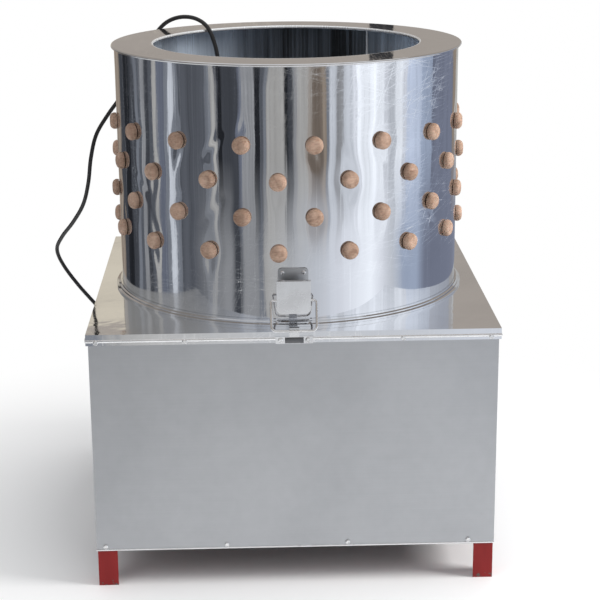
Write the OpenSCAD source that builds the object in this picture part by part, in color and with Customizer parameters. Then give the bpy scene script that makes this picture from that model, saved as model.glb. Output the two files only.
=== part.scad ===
// Drum poultry plucker: a finger-lined drum over a belt-driven turntable on a square cabinet.
// Millimetres. +Z is up, the front is towards -Y, and the origin is on the floor under the drum's axis.

/* [Cabinet] */
// Side of the square top plate
cabinet_w = 620; // [610:1:700]
// Height of the top plate's upper face above the floor
cabinet_h = 407; // [400:1:460]
// Gap between the floor and the panels
floor_gap = 58; // [40:1:62]
// Sheet thickness of the top plate
plate_t = 1.5; // [1:0.1:2.5]
// Depth of the flange folded down round the top plate
flange_h = 17; // [16:0.5:24]
// Height of the hem folded up inside the flange
hem_h = 6; // [4:0.5:9]
// Sheet thickness of the panels
panel_t = 1.2; // [0.8:0.1:2]
// Width of the corner return on the front and rear panels
panel_return = 14; // [8:1:24]
// Width of the stiffening lip along the panels' lower edge
panel_lip = 12; // [6:1:20]

/* [Frame] */
// Leg width of the angle bars
angle_w = 30; // [25:1:36]
// Thickness of the angle bars
angle_t = 3; // [2:0.5:4]
// Height of the side rails' upper face, which carries the spindle beams
side_rail_z = 235; // [215:1:245]
// Clear gap between the two spindle beams
beam_gap = 90; // [88:1:110]

/* [Drum] */
// Outside diameter of the drum shell
drum_d = 550; // [520:1:556]
// Sheet thickness of the drum shell
drum_t = 1.5; // [1:0.1:2.5]
// Height of the drum from the top plate to the top of the rim
drum_h = 393; // [370:1:480]
// Outside diameter of the rim ring
rim_d = 560; // [558:1:580]
// Diameter of the mouth in the rim ring
mouth_d = 430; // [400:1:480]
// Sheet thickness of the rim ring
rim_t = 1.5; // [1:0.1:2.5]
// Diameter of the bead rolled along the rim's outer edge
rim_bead_d = 4.4; // [3.6:0.1:6]
// Depth of the hem turned down round the mouth
mouth_hem = 5; // [3:0.5:8]
// Width of the stepped foot ring round the shell
foot_w = 9; // [6:0.5:14]
// Height of the stepped foot ring
foot_h = 9.6; // [6:0.1:12]

/* [Fingers] */
// Overall length of a finger
finger_len = 95; // [80:1:96]
// Diameter of the head
finger_head_d = 26.5; // [24:0.5:30]
// Height of the head outside the sheet
finger_head_h = 10.5; // [8:0.5:12]
// Diameter of the neck in the sheet
finger_neck_d = 19; // [16:0.5:20]
// Diameter of the shoulder inside the sheet
finger_base_d = 23; // [22:0.5:25]
// Diameter near the tip
finger_tip_d = 13; // [10:0.5:15]
// Number of ribs along the body
finger_ribs = 8; // [5:1:10]
// Fingers in each row round the drum
row_count = 16; // [12:1:18]
// Height of the lowest row above the top plate
row_first = 111; // [108:1:125]
// Vertical pitch of the rows
row_pitch = 54; // [46:1:60]
// Turn of the rows from the front, in degrees
row_turn = -4.4; // [-10:0.1:10]

/* [Turntable] */
// Diameter of the turntable disc
disc_d = 524; // [500:1:528]
// Thickness of the turntable disc
disc_t = 4; // [3:0.5:6]
// Height of the disc's upper face above the top plate
disc_lift = 14; // [12:0.5:16]
// Diameter of the outer ring of fingers
outer_ring_d = 470; // [440:1:476]
// Fingers in the outer ring
outer_ring_n = 18; // [12:1:22]
// Diameter of the middle ring of fingers
middle_ring_d = 330; // [300:1:350]
// Fingers in the middle ring
middle_ring_n = 12; // [8:1:15]
// Diameter of the inner ring of fingers
inner_ring_d = 190; // [180:1:210]
// Fingers in the inner ring
inner_ring_n = 6; // [4:1:8]

/* [Spindle] */
// Diameter of the main shaft
shaft_d = 30; // [25:1:32]
// Outside diameter of the bearings
bearing_d = 62; // [58:1:66]
// Width of the bearings
bearing_w = 16; // [14:1:20]
// Outside diameter of the spindle housing
housing_d = 82; // [76:1:86]
// Length of the spindle housing
housing_len = 130; // [110:1:136]
// Length of the housing below its flange
housing_drop = 46; // [40:1:60]
// Thickness of the housing's flange
housing_flange_t = 12; // [8:1:16]

/* [Drive] */
// Pitch diameter of the driven pulley
driven_d = 280; // [240:1:284]
// Pitch diameter of the drive pulley
drive_d = 63; // [56:1:80]
// Height of the belt's middle plane
belt_z = 96; // [92:1:104]
// Top width of the V-belt
belt_w = 13; // [10:0.5:14]
// Depth of the V-belt
belt_depth = 8; // [6:0.5:9]

/* [Motor] */
// Outside diameter over the motor's fins
motor_d = 148; // [130:1:152]
// Length of the finned motor body
motor_len = 150; // [130:1:156]
// Sideways place of the motor's axis
motor_x = -165; // [-175:1:-150]
// Distance from the motor's axis to its mounting plate
motor_reach = 80; // [78:1:92]
// Diameter of the motor's shaft
motor_shaft_d = 19; // [14:1:22]
// Thickness of the motor's mounting plate
motor_plate_t = 6; // [4:0.5:8]

/* [Feather pan] */
// Slope of the pan's floor, in degrees
pan_slope = 5; // [3:0.5:6]
// Depth of the floor's middle below the top plate
pan_depth = 55; // [50:1:58]
// Sheet thickness of the pan and chute
pan_t = 1.2; // [0.8:0.1:2]
// Length of the outlet along the slope
outlet_len = 92; // [70:1:96]
// Width of the outlet across the slope
outlet_w = 120; // [80:1:140]

/* [Latch] */
// Width over the wire bail
bail_w = 72; // [68:1:80]
// Diameter of the bail's wire
bail_wire_d = 4; // [3:0.5:5]
// Width of the lever
lever_w = 51; // [40:1:52]
// Height of the lever above its pivot
lever_h = 44; // [34:1:50]
// Sheet thickness of the lever and catch
latch_t = 1.5; // [1:0.1:2]
// Distance of the lever's pivot from the drum wall
pivot_out = 16; // [14:0.5:18]
// Height of the lever's pivot above the top plate
pivot_up = 32; // [28:0.5:36]
// Throw of the bail's pivot from the lever's pivot
bail_throw = 11; // [9:0.5:13]

/* [Switch and lead] */
// Width of the switch plate
switch_w = 92; // [84:1:110]
// Height of the switch plate
switch_h = 46; // [40:1:54]
// Diameter of the push buttons
button_d = 22; // [18:1:26]
// Travel of the push buttons
button_travel = 4; // [2:0.5:5]
// Diameter of the mains lead
lead_d = 7; // [6:0.5:8]

/* [Hidden] */
$fn = 96;
// Gap between seated pieces, gap between loose sheets, and a running fit on the radius
seat = 0.1;
loose = 0.3;
run_fit = 0.05;
press_fit = 0.02;
// Overshoot of every cutting tool
cut = 1;

plate_half = cabinet_w / 2;
plate_under = cabinet_h - plate_t;
panel_half = plate_half - 2 * plate_t - seat * 2;
panel_top = plate_under - loose;
panel_h = panel_top - floor_gap;
frame_half = panel_half - panel_t - seat;
rail_half = frame_half - angle_w;
bottom_rail_z = floor_gap + panel_t + seat;

drum_r = drum_d / 2;
drum_in_r = drum_r - drum_t;
rim_top = cabinet_h + drum_h;
plate_hole_r = drum_in_r - 1.5;

clip_turns = [-32, 32];
clip_w = 24;
clip_t = 3;
clip_bolt_d = 6;
clip_foot = 16;
clip_bolt_r = drum_r + foot_w + 3 + clip_foot / 2;

// Finger: the seat plane is the sheet's outer face, the head lies on the minus side
neck_slack = 0.5;
finger_head_r = finger_head_d / 2;
shell_sag = drum_in_r - sqrt(pow(drum_in_r, 2) - pow(finger_base_d / 2, 2));
wall_neck = drum_t + seat * 2 + shell_sag + loose;
disc_neck = disc_t + loose * 2;
finger_body = finger_len - finger_head_h;
tip_round = finger_tip_d / 2;
head_steps = 5;

disc_top = cabinet_h + disc_lift;
disc_under = disc_top - disc_t;
ring_sizes = [[outer_ring_d, outer_ring_n], [middle_ring_d, middle_ring_n], [inner_ring_d, inner_ring_n]];

hub_flange_d = 100;
hub_flange_t = 8;
hub_boss_d = 56;
hub_len = 38;
hub_bolt_r = 38;
hub_bolt_d = 8;
stud_d = shaft_d * 2 / 3;
nut_h = 16;
nut_washer_d = 44;
nut_washer_t = 3;
hub_low = disc_under - hub_len;
collar_r = hub_flange_d / 2 + 8;

beam_z = side_rail_z + seat;
flange_z = beam_z + angle_t + seat;
housing_low = flange_z - housing_drop;
housing_top = housing_low + housing_len;
housing_flange_r = beam_gap / 2 + angle_w - angle_t - 2;
housing_bolt = [22, beam_gap / 2 + angle_w * 0.45];
housing_bolt_d = 10;
housing_rib_h = 40;
housing_rib_t = 8;
housing_rib_in = 2;
seat_bore_d = bearing_d + 2 * press_fit;
relief_bore_d = bearing_d - 10;
bearing_pitch_r = (bearing_d + shaft_d) / 4;
ball_r = (bearing_d - shaft_d) * 0.148;
ball_count = 9;
lower_bearing_z = housing_low;
upper_bearing_z = housing_top - bearing_w;
shaft_low = belt_z - 24;

pulley_w = belt_w + 7;
driven_hub = [58, 36];
drive_hub = [38, 30];
web_half_t = 4;
pitch_drop = belt_depth * 0.34;
belt_angle = 20;
groove_slack = 0.4;
driven_r = driven_d / 2;
drive_r = drive_d / 2;

motor_plate_y = rail_half - motor_plate_t - seat;
motor_y = motor_plate_y - motor_reach;
motor_r = motor_d / 2;
core_r = motor_r - 9;
fin_t = 3;
// No fins where the two feet stand
fin_turns = [for (turn = [75:15:375]) if (turn < 110 || turn > 160) turn];
bell_t = 20;
fan_room = 34;
pulley_room = 34;
motor_low = belt_z + pulley_room;
motor_body_z = motor_low + bell_t;
motor_top = motor_body_z + motor_len;
fan_z = motor_top + bell_t * 0.6;
fan_h = 20;
fan_lift = 3;
fan_blade_t = 2;
cover_t = 1.5;
cover_hole_r = 3.4;
rotor_r = core_r * 0.55;
motor_shaft_low = belt_z - drive_hub[1] / 2 - cut;
motor_rail_rise = 38;
motor_rail_drop = 8;
motor_rail_z = [motor_body_z + motor_rail_rise, motor_body_z + motor_len - motor_rail_drop];
foot_x = motor_r * 0.72;
foot_w_x = 26;
motor_bolt_x = foot_x - foot_w_x / 2;
terminal_box = [34, 74, 74];
terminal_lid = [4, 78, 78];
motor_bolt_z = [motor_rail_z[0] - angle_w / 2, motor_rail_z[1] - angle_w / 2];
motor_bolt_d = 8;
bolt_depth = 14;
motor_plate_edge = 30;

axis_gap = norm([motor_x, motor_y]);
axis_turn = atan2(motor_y, motor_x);
wrap_turn = acos((driven_r - drive_r) / axis_gap);
span_len = axis_gap * sin(wrap_turn);

pan_in_r = plate_hole_r + 0.8;
pan_out_r = pan_in_r + pan_t;
pan_turn = -45;
pan_mid_z = cabinet_h - pan_depth;
collar_top = hub_low + 16;
outlet_mid = pan_in_r - 10 - outlet_len / 2;
chute_low = floor_gap + 12;

pivot_y = -(drum_r + pivot_out);
pivot_z = cabinet_h + pivot_up;
bar_room = 1.6;
bar_y = -(plate_half + latch_t + seat + bail_wire_d / 2 + bar_room);
bar_rise = 2.5;
bar_z = cabinet_h + bar_rise;
bail_reach = pivot_y - bar_y;
bail_drop = pivot_z + bail_throw - bar_z;
bail_len = norm([bail_reach, bail_drop]);
bail_tilt = atan2(bail_reach, bail_drop);
bail_leg_x = (bail_w - bail_wire_d) / 2;
bail_bend = 8;
bail_elbow = 5;
pin_d = 5;
lever_in = 6;
lever_low = 8;
lever_chamfer = 5;
ear_t = 2.5;
cheek_in = lever_w / 2 - latch_t;
ear_x = cheek_in - 1;
catch_w = 56;
catch_h = 11;
tongue_w = 15;

screw_d = 4;
screw_head_d = 8;
screw_head_h = 2.4;
flange_screw_z = cabinet_h - flange_h + hem_h - 1.5;
flange_screw_edges = [15, 147];
flange_screw_x = [for (side = [-1, 1], edge = flange_screw_edges) side * (plate_half - edge)];
catch_screw_x = [-20.5, 20.5];
panel_screw_z = floor_gap + 7;
panel_screw_edges = [13.8, 40.2];
panel_screw_pitch = (2 * panel_half - panel_screw_edges[0] - panel_screw_edges[1]) / 3;
panel_screw_x = [for (i = [0:3]) panel_screw_edges[0] - panel_half + i * panel_screw_pitch];
flange_grip = 2 * plate_t + 3 * seat + panel_t + angle_t;
panel_grip = panel_t + seat + angle_t;

switch_x = 100;
switch_z = (motor_rail_z[0] + motor_rail_z[1] - angle_w) / 2;
switch_plate_t = 3;
switch_depth = 34;
switch_neck = 5;
button_gap = 40;
button_out = 7;
button_bore = 14;
button_edge = 1.5;

lead_sides = 10;
lead_steps = 2;
gland_x = -20;
gland_z = 140;
gland_hex = 20;
gland_thread_d = gland_hex * 0.8;
gland_thread = 11;
gland_nut = 7;
// The lead's middle line, from the gland behind the cabinet, over the rim, to the plug inside the drum
lead_route = [
    [-20, 350, 140], [-20, 376, 138], [-20, 405, 122], [-22, 425, 92], [-27, 442, 55], [-38, 462, 22],
    [-60, 486, 6], [-98, 508, 4], [-145, 516, 4], [-190, 508, 4], [-230, 486, 6], [-258, 455, 22],
    [-273, 425, 55], [-283, 405, 100], [-297, 392, 150], [-320, 382, 203], [-352, 372, 252],
    [-387, 361, 300], [-413, 347, 345], [-421, 328, 380], [-407, 300, 411], [-382, 265, 446],
    [-359, 232, 486], [-346, 208, 530], [-339, 200, 575], [-328, 200, 616], [-307, 203, 650],
    [-282, 206, 683], [-259, 207, 720], [-238, 206, 760], [-219, 203, 790], [-199, 197.5, 810],
    [-174.5, 190.5, 819], [-149, 180.5, 817], [-129, 167.5, 803.5], [-117, 159, 775], [-110, 153, 738],
    [-101, 146, 700], [-94, 141, 664], [-90, 138, 632], [-90, 138, 610]
];
plug_at = lead_route[len(lead_route) - 1];
gland_face = lead_route[0];
plug_r = 17;
plug_neck = 28;
plug_len = 62;
sleeve_ribs = 3;
blade = [1.6, 6.4, 18];
blade_gap = 12.7;
earth_pin_d = 4.8;
earth_pin_y = 8;

// Shared shapes

// A ring standing on the XY plane
module tube(r_out, r_in, h) {
    difference() {
        cylinder(r = r_out, h = h);
        translate([0, 0, -cut]) cylinder(r = r_in, h = h + 2 * cut);
    }
}

// A cylinder along +X, centred on the YZ plane
module cross_pin(d, length) {
    rotate([0, 90, 0]) cylinder(d = d, h = length, center = true);
}

// Section of an angle bar: the outer corner is at the origin, the legs run along +X and +Y
module angle_section() {
    polygon([[0, 0], [angle_w, 0], [angle_w, angle_t], [angle_t, angle_t], [angle_t, angle_w], [0, angle_w]]);
}

// A 2D section in (Y, Z) drawn out along +X
module along_x(length) {
    rotate([90, 0, 90]) linear_extrude(length) children();
}

// A pan-head screw: the head is above the XY plane, the shank below it
module screw(grip) {
    translate([0, 0, -grip]) cylinder(d = screw_d, h = grip + screw_head_h / 2);
    intersection() {
        cylinder(d = screw_head_d, h = screw_head_h);
        translate([0, 0, screw_head_h - screw_head_d]) sphere(r = screw_head_d);
    }
}

// A hexagon-head bolt: the head is above the XY plane
module bolt(d, grip) {
    translate([0, 0, -grip]) cylinder(d = d, h = grip + d * 0.3);
    cylinder(d = d * 1.9, h = d * 0.65, $fn = 6);
}

// Children stand on the outside of each cabinet face, Z pointing outwards, at the given spots
module on_face(turn, out, spots_x, spot_z) {
    rotate([0, 0, turn])
        for (x = spots_x) translate([x, -out, spot_z]) rotate([90, 0, 0]) children();
}

// Holes through the cabinet's faces for the flange screws and the panel screws
module flange_holes() {
    for (turn = [0:90:270])
        on_face(turn, plate_half + cut, flange_screw_x, flange_screw_z) hole_down(flange_grip + 4);
    on_face(0, plate_half + cut, catch_screw_x, flange_screw_z) hole_down(flange_grip + 4);
}

module panel_holes() {
    for (turn = [0:90:270])
        on_face(turn, panel_half + cut, panel_screw_x, panel_screw_z) hole_down(panel_grip + 4);
}

module hole_down(depth) {
    translate([0, 0, -depth - cut]) cylinder(d = screw_d + 2 * loose, h = depth + 3 * cut);
}

// Frame

module post(mx, my) {
    color("#7d2424") difference() {
        mirror([mx, 0, 0]) mirror([0, my, 0])
            translate([-frame_half, -frame_half, 0]) linear_extrude(plate_under - seat) angle_section();
        flange_holes();
        panel_holes();
    }
}

module post_front_left() { post(0, 0); }
module post_front_right() { post(1, 0); }
module post_rear_left() { post(0, 1); }
module post_rear_right() { post(1, 1); }

// Angle rails between the posts; the flat leg is up or down
module face_rail(z, flat_up) {
    translate([-rail_half, -frame_half, z])
        along_x(2 * rail_half) mirror([0, flat_up ? 1 : 0]) angle_section();
}

module top_rails() {
    color("#7d2424") difference() {
        for (turn = [0:90:270]) rotate([0, 0, turn]) face_rail(plate_under - seat, true);
        flange_holes();
    }
}

module bottom_rails() {
    color("#7d2424") difference() {
        for (turn = [0:90:270]) rotate([0, 0, turn]) face_rail(bottom_rail_z, false);
        panel_holes();
    }
}

module side_rails() {
    color("#7d2424") for (turn = [90, 270]) rotate([0, 0, turn]) face_rail(side_rail_z, true);
}

module spindle_beams() {
    color("#7d2424") for (turn = [0, 180]) rotate([0, 0, turn]) difference() {
        translate([angle_t - frame_half, beam_gap / 2 + angle_w, beam_z])
            along_x(2 * (frame_half - angle_t)) mirror([1, 0]) angle_section();
        for (x = [-1, 1]) translate([x * housing_bolt[0], housing_bolt[1], beam_z - cut])
            cylinder(d = housing_bolt_d + 2 * loose, h = angle_t + 2 * cut);
    }
}

module motor_rails() {
    color("#7d2424") for (z = motor_rail_z) difference() {
        translate([angle_t - frame_half, rail_half, z])
            along_x(2 * (frame_half - angle_t)) mirror([0, 1]) square_angle();
        motor_bolt_holes(cut);
    }
}

// An angle bar cut down to fit between the rear posts' flanges
module square_angle() {
    intersection() {
        angle_section();
        square([angle_w - angle_t - seat, angle_w]);
    }
}

// Sheet metal

module wrapped_panel() {
    translate([-panel_half, -panel_half, floor_gap]) cube([2 * panel_half, panel_t, panel_h]);
    for (side = [0, 1]) mirror([side, 0, 0])
        translate([-panel_half, -panel_half, floor_gap]) cube([panel_t, panel_return, panel_h]);
    panel_foot();
}

module flat_panel() {
    half = panel_half - panel_return - loose;
    translate([-half, -panel_half, floor_gap]) cube([2 * half, panel_t, panel_h]);
    panel_foot();
}

module panel_foot() {
    translate([-rail_half, -panel_half, floor_gap]) cube([2 * rail_half, panel_lip, panel_t]);
}

module front_panel() {
    color("#aeb2b5") difference() {
        wrapped_panel();
        flange_holes();
        panel_holes();
    }
}

module rear_panel() {
    color("#aeb2b5") difference() {
        rotate([0, 0, 180]) wrapped_panel();
        flange_holes();
        panel_holes();
        translate([switch_x, panel_half, switch_z])
            cube([switch_w - 2 * (switch_neck - loose), 4 * panel_t, switch_h - 2 * (switch_neck - loose)],
                 center = true);
        translate([gland_x, panel_half + cut, gland_z]) rotate([90, 0, 0])
            cylinder(d = gland_thread_d + 2 * loose, h = panel_t + 2 * cut);
    }
}

module left_panel() {
    color("#aeb2b5") difference() {
        rotate([0, 0, -90]) flat_panel();
        flange_holes();
        panel_holes();
    }
}

module right_panel() {
    color("#aeb2b5") difference() {
        rotate([0, 0, 90]) flat_panel();
        flange_holes();
        panel_holes();
    }
}

module square_ring(half_out, half_in, h) {
    linear_extrude(h) difference() {
        square(2 * half_out, center = true);
        square(2 * half_in, center = true);
    }
}

module top_plate() {
    color("#c9ccce") difference() {
        union() {
            translate([-plate_half, -plate_half, plate_under]) cube([cabinet_w, cabinet_w, plate_t]);
            translate([0, 0, cabinet_h - flange_h])
                square_ring(plate_half, plate_half - plate_t, flange_h);
            translate([0, 0, cabinet_h - flange_h])
                square_ring(plate_half, plate_half - 2 * plate_t, hem_h);
        }
        translate([0, 0, plate_under - cut]) cylinder(r = plate_hole_r, h = plate_t + 2 * cut);
        flange_holes();
        clip_bolt_holes();
    }
}

// Drum

function row_z(row) = cabinet_h + row_first + row * row_pitch;
function row_start(row) = row_turn + (row % 2) * 180 / row_count;

// Children point from the drum wall to its axis, at each place in a row
module each_wall_finger(row) {
    for (i = [0:row_count - 1])
        rotate([0, 0, row_start(row) + i * 360 / row_count])
            translate([0, -(drum_r + seat), row_z(row)]) rotate([-90, 0, 0]) children();
}

module drum_shell() {
    color("#c4c7ca") difference() {
        translate([0, 0, cabinet_h + seat]) tube(drum_r, drum_in_r, drum_h - rim_t - 2 * seat);
        for (row = [0:3]) each_wall_finger(row)
            translate([0, 0, -2 * cut]) cylinder(d = finger_neck_d + 2 * neck_slack, h = drum_t + 5 * cut);
    }
}

module drum_rim() {
    color("#c8c4bd") translate([0, 0, rim_top]) rotate_extrude() {
        translate([mouth_d / 2, -rim_t]) square([(rim_d - mouth_d - rim_bead_d) / 2, rim_t]);
        translate([(rim_d - rim_bead_d) / 2, -rim_bead_d / 2]) circle(d = rim_bead_d);
        translate([mouth_d / 2, -mouth_hem]) square([rim_t, mouth_hem]);
    }
}

// Three steps, each lower than the one inside it
module drum_foot_ring() {
    inner = drum_r + seat * 2;
    color("#c4c7ca") translate([0, 0, cabinet_h + seat]) rotate_extrude()
        polygon([
            [inner, 0], [inner + foot_w, 0], [inner + foot_w, foot_h * 0.3],
            [inner + foot_w * 0.62, foot_h * 0.42], [inner + foot_w * 0.62, foot_h * 0.62],
            [inner + foot_w * 0.3, foot_h * 0.75], [inner + foot_w * 0.3, foot_h], [inner, foot_h]
        ]);
}

module each_clip() {
    for (turn = clip_turns) rotate([0, 0, turn]) children();
}

module clip_bolt_holes() {
    each_clip() translate([0, clip_bolt_r, plate_under - cut])
        cylinder(d = clip_bolt_d + 2 * loose, h = plate_t + 2 * cut);
}

// Bent straps at the back that hold the foot ring's lowest step down, each with its bolt
module drum_clips() {
    step_top = cabinet_h + seat + foot_h * 0.42 + loose;
    ring_edge = drum_r + 2 * seat + foot_w;
    color("#b9bcbf") each_clip() {
        difference() {
            translate([-clip_w / 2, 0, 0]) along_x(clip_w) polygon([
                [ring_edge + 1, cabinet_h + seat], [ring_edge + 3 + clip_foot, cabinet_h + seat],
                [ring_edge + 3 + clip_foot, cabinet_h + seat + clip_t],
                [ring_edge + 1 + clip_t, cabinet_h + seat + clip_t],
                [ring_edge + 1 + clip_t, step_top + clip_t],
                [ring_edge - foot_w * 0.25, step_top + clip_t], [ring_edge - foot_w * 0.25, step_top],
                [ring_edge + 1, step_top]
            ]);
            translate([0, clip_bolt_r, plate_under - cut])
                cylinder(d = clip_bolt_d + 2 * loose, h = plate_t + clip_t + 3 * cut);
        }
        translate([0, clip_bolt_r, cabinet_h + 2 * seat + clip_t]) bolt(clip_bolt_d, clip_t + plate_t + 5);
    }
}

// Fingers

// Radius of the finger's body at a share of its length
function body_r(share) = (finger_base_d + (finger_tip_d - finger_base_d) * share) / 2;

function head_points() = [
    for (i = [0:head_steps])
        let (a = 90 * i / head_steps)
        [finger_head_r * (0.42 + 0.58 * sin(a)), -finger_head_h * (0.3 + 0.7 * cos(a))]
];

function rib_points(start, length) = [
    for (i = [0:finger_ribs - 1])
        let (s0 = i / finger_ribs, s1 = (i + 0.55) / finger_ribs)
        each [
            [body_r(s0), start + length * s0],
            [body_r(s1), start + length * s1],
            [body_r(s1) - 1.2, start + length * (s1 + 0.12 / finger_ribs)]
        ]
];

function tip_points(top) = [
    for (i = [0:4])
        let (a = 90 * i / 4)
        [i == 4 ? 0 : tip_round * cos(a), top - tip_round * 0.6 * (1 - sin(a))]
];

// One rubber finger: head below the XY plane, neck through the sheet, ribbed body above
module finger(neck_len) {
    ribs_end = finger_body - tip_round * 0.6;
    rotate_extrude($fn = 40) polygon(concat(
        [[0, -finger_head_h]], head_points(), [[finger_head_r * 0.97, 0], [finger_neck_d / 2, 0]],
        [[finger_neck_d / 2, neck_len]], rib_points(neck_len, ribs_end - neck_len), tip_points(finger_body)
    ));
}

module wall_fingers(row) {
    color("#c79d80") each_wall_finger(row) finger(wall_neck);
}

module wall_fingers_row_1() { wall_fingers(0); }
module wall_fingers_row_2() { wall_fingers(1); }
module wall_fingers_row_3() { wall_fingers(2); }
module wall_fingers_row_4() { wall_fingers(3); }

// Turntable

module each_disc_finger(ring) {
    for (i = [0:ring[1] - 1])
        rotate([0, 0, (i + 0.5) * 360 / ring[1]]) translate([ring[0] / 2, 0, disc_under - loose]) children();
}

module each_hub_bolt() {
    for (turn = [45:90:315]) rotate([0, 0, turn]) translate([hub_bolt_r, 0, 0]) children();
}

module turntable_disc() {
    color("#bfc2c4") difference() {
        translate([0, 0, disc_under]) cylinder(d = disc_d, h = disc_t);
        for (ring = ring_sizes) each_disc_finger(ring)
            translate([0, 0, -cut]) cylinder(d = finger_neck_d + 2 * neck_slack, h = disc_neck + 2 * cut);
        translate([0, 0, disc_under - cut]) cylinder(d = stud_d + 2 * loose, h = disc_t + 2 * cut);
        translate([0, 0, disc_under - cut]) each_hub_bolt()
            cylinder(d = hub_bolt_d + 2 * loose, h = disc_t + 2 * cut);
    }
}

module turntable_fingers(ring) {
    color("#c79d80") each_disc_finger(ring) finger(disc_neck);
}

module turntable_fingers_outer() { turntable_fingers(ring_sizes[0]); }

// The middle and the inner ring together
module turntable_fingers_inner() {
    turntable_fingers(ring_sizes[1]);
    turntable_fingers(ring_sizes[2]);
}

module turntable_hub() {
    color("#70757a") translate([0, 0, hub_low]) difference() {
        union() {
            cylinder(d = hub_boss_d, h = hub_len - seat);
            translate([0, 0, hub_len - hub_flange_t]) cylinder(d = hub_flange_d, h = hub_flange_t - seat);
        }
        translate([0, 0, -cut]) cylinder(d = shaft_d + 2 * press_fit, h = hub_len + 2 * cut);
        translate([0, 0, hub_len - hub_flange_t - cut]) each_hub_bolt()
            cylinder(d = hub_bolt_d + 2 * loose, h = hub_flange_t + 2 * cut);
    }
}

module hub_bolts() {
    color("#a9adb0") translate([0, 0, disc_top + seat]) each_hub_bolt()
        bolt(hub_bolt_d, disc_t + hub_flange_t + 3);
}

module cap_nut() {
    color("#b5b9bc") translate([0, 0, disc_top + seat]) difference() {
        union() {
            cylinder(d = nut_washer_d, h = nut_washer_t);
            cylinder(d = stud_d * 1.7, h = nut_h, $fn = 6);
            translate([0, 0, nut_h]) sphere(d = stud_d * 1.35);
        }
        translate([0, 0, -2 * cut - stud_d])
            cylinder(d = stud_d + 2 * press_fit, h = nut_h + stud_d + 2 * cut);
    }
}

module main_shaft() {
    color("#9aa0a5") {
        translate([0, 0, shaft_low]) cylinder(d = shaft_d, h = disc_under - seat - shaft_low);
        translate([0, 0, disc_under - cut]) cylinder(d = stud_d, h = disc_t + cut + nut_h - 2);
    }
}

// Spindle

module each_housing_bolt() {
    for (x = [-1, 1], y = [-1, 1]) translate([x * housing_bolt[0], y * housing_bolt[1], 0]) children();
}

module spindle_housing() {
    rib_root = housing_d / 2 - housing_rib_in;
    rib_end = housing_flange_r - 2 * housing_rib_in;
    color("#5b6a73") difference() {
        union() {
            translate([0, 0, housing_low]) cylinder(d = housing_d, h = housing_len);
            translate([0, 0, flange_z]) cylinder(r = housing_flange_r, h = housing_flange_t);
            for (turn = [0:90:270])
                rotate([0, 0, turn]) translate([0, housing_rib_t / 2, flange_z + housing_flange_t])
                    rotate([90, 0, 0]) linear_extrude(housing_rib_t) polygon([
                        [rib_root, -cut], [rib_end, -cut], [rib_root, housing_rib_h]
                    ]);
        }
        translate([0, 0, housing_low - cut]) cylinder(d = relief_bore_d, h = housing_len + 2 * cut);
        translate([0, 0, lower_bearing_z - cut]) cylinder(d = seat_bore_d, h = bearing_w + cut);
        translate([0, 0, upper_bearing_z]) cylinder(d = seat_bore_d, h = bearing_w + cut);
        translate([0, 0, flange_z - cut]) each_housing_bolt()
            cylinder(d = housing_bolt_d + 2 * loose, h = housing_flange_t + 2 * cut);
    }
}

module each_bearing() {
    for (z = [lower_bearing_z, upper_bearing_z]) translate([0, 0, z + bearing_w / 2]) children();
}

// One ring of a ball bearing: its groove follows the balls
module bearing_ring(r_in, r_out) {
    rotate_extrude() difference() {
        translate([r_in, -bearing_w / 2]) square([r_out - r_in, bearing_w]);
        translate([bearing_pitch_r, 0]) circle(r = ball_r + run_fit);
    }
}

module bearing_outer_rings() {
    color("#d0d3d5") each_bearing() bearing_ring(bearing_pitch_r + ball_r * 0.62, bearing_d / 2);
}

module bearing_inner_rings() {
    color("#d0d3d5") each_bearing() bearing_ring(shaft_d / 2 + press_fit, bearing_pitch_r - ball_r * 0.62);
}

module bearing_balls() {
    color("#e0e2e4") each_bearing() for (i = [0:ball_count - 1])
        rotate([0, 0, i * 360 / ball_count]) translate([bearing_pitch_r, 0, 0]) sphere(r = ball_r);
}

// Belt drive

// V section of the belt about its pitch line at the origin; grow widens it into the pulley's groove
module belt_section(grow, deeper) {
    top = pitch_drop + (grow > 0 ? 5 : 0);
    low = pitch_drop - belt_depth - deeper;
    slope = tan(belt_angle);
    half_top = belt_w / 2 + (top - pitch_drop) * slope + grow;
    half_low = belt_w / 2 + (low - pitch_drop) * slope + grow;
    polygon([[low, -half_low], [top, -half_top], [top, half_top], [low, half_low]]);
}

// The hub gives a diameter and a length; a large pulley has a thin web with six holes
module pulley(pitch_r, bore_d, hub) {
    rim_r = pitch_r + pitch_drop + 1.2;
    web_in = hub[0] / 2;
    web_out = pitch_r - belt_depth - 8;
    hole_r = (web_out - web_in) * 0.33;
    difference() {
        union() {
            translate([0, 0, -pulley_w / 2]) cylinder(r = rim_r, h = pulley_w);
            translate([0, 0, -hub[1] / 2]) cylinder(d = hub[0], h = hub[1]);
        }
        rotate_extrude() translate([pitch_r, 0]) belt_section(groove_slack, 2);
        translate([0, 0, -hub[1]]) cylinder(d = bore_d + 2 * press_fit, h = 2 * hub[1]);
        if (hole_r > 12) {
            for (side = [0, 1]) mirror([0, 0, side])
                translate([0, 0, web_half_t]) tube(web_out, web_in + web_half_t, pulley_w);
            for (i = [0:5]) rotate([0, 0, i * 60])
                translate([(web_in + web_out) / 2, 0, -pulley_w]) cylinder(r = hole_r, h = 2 * pulley_w);
        }
    }
}

module driven_pulley() {
    color("#4c5257") translate([0, 0, belt_z]) pulley(driven_r, shaft_d, driven_hub);
}

module drive_pulley() {
    color("#4c5257") translate([motor_x, motor_y, belt_z]) pulley(drive_r, motor_shaft_d, drive_hub);
}

module belt_arc(start, sweep, pitch_r) {
    rotate([0, 0, start]) rotate_extrude(angle = sweep) translate([pitch_r, 0]) belt_section(0, 0);
}

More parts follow.
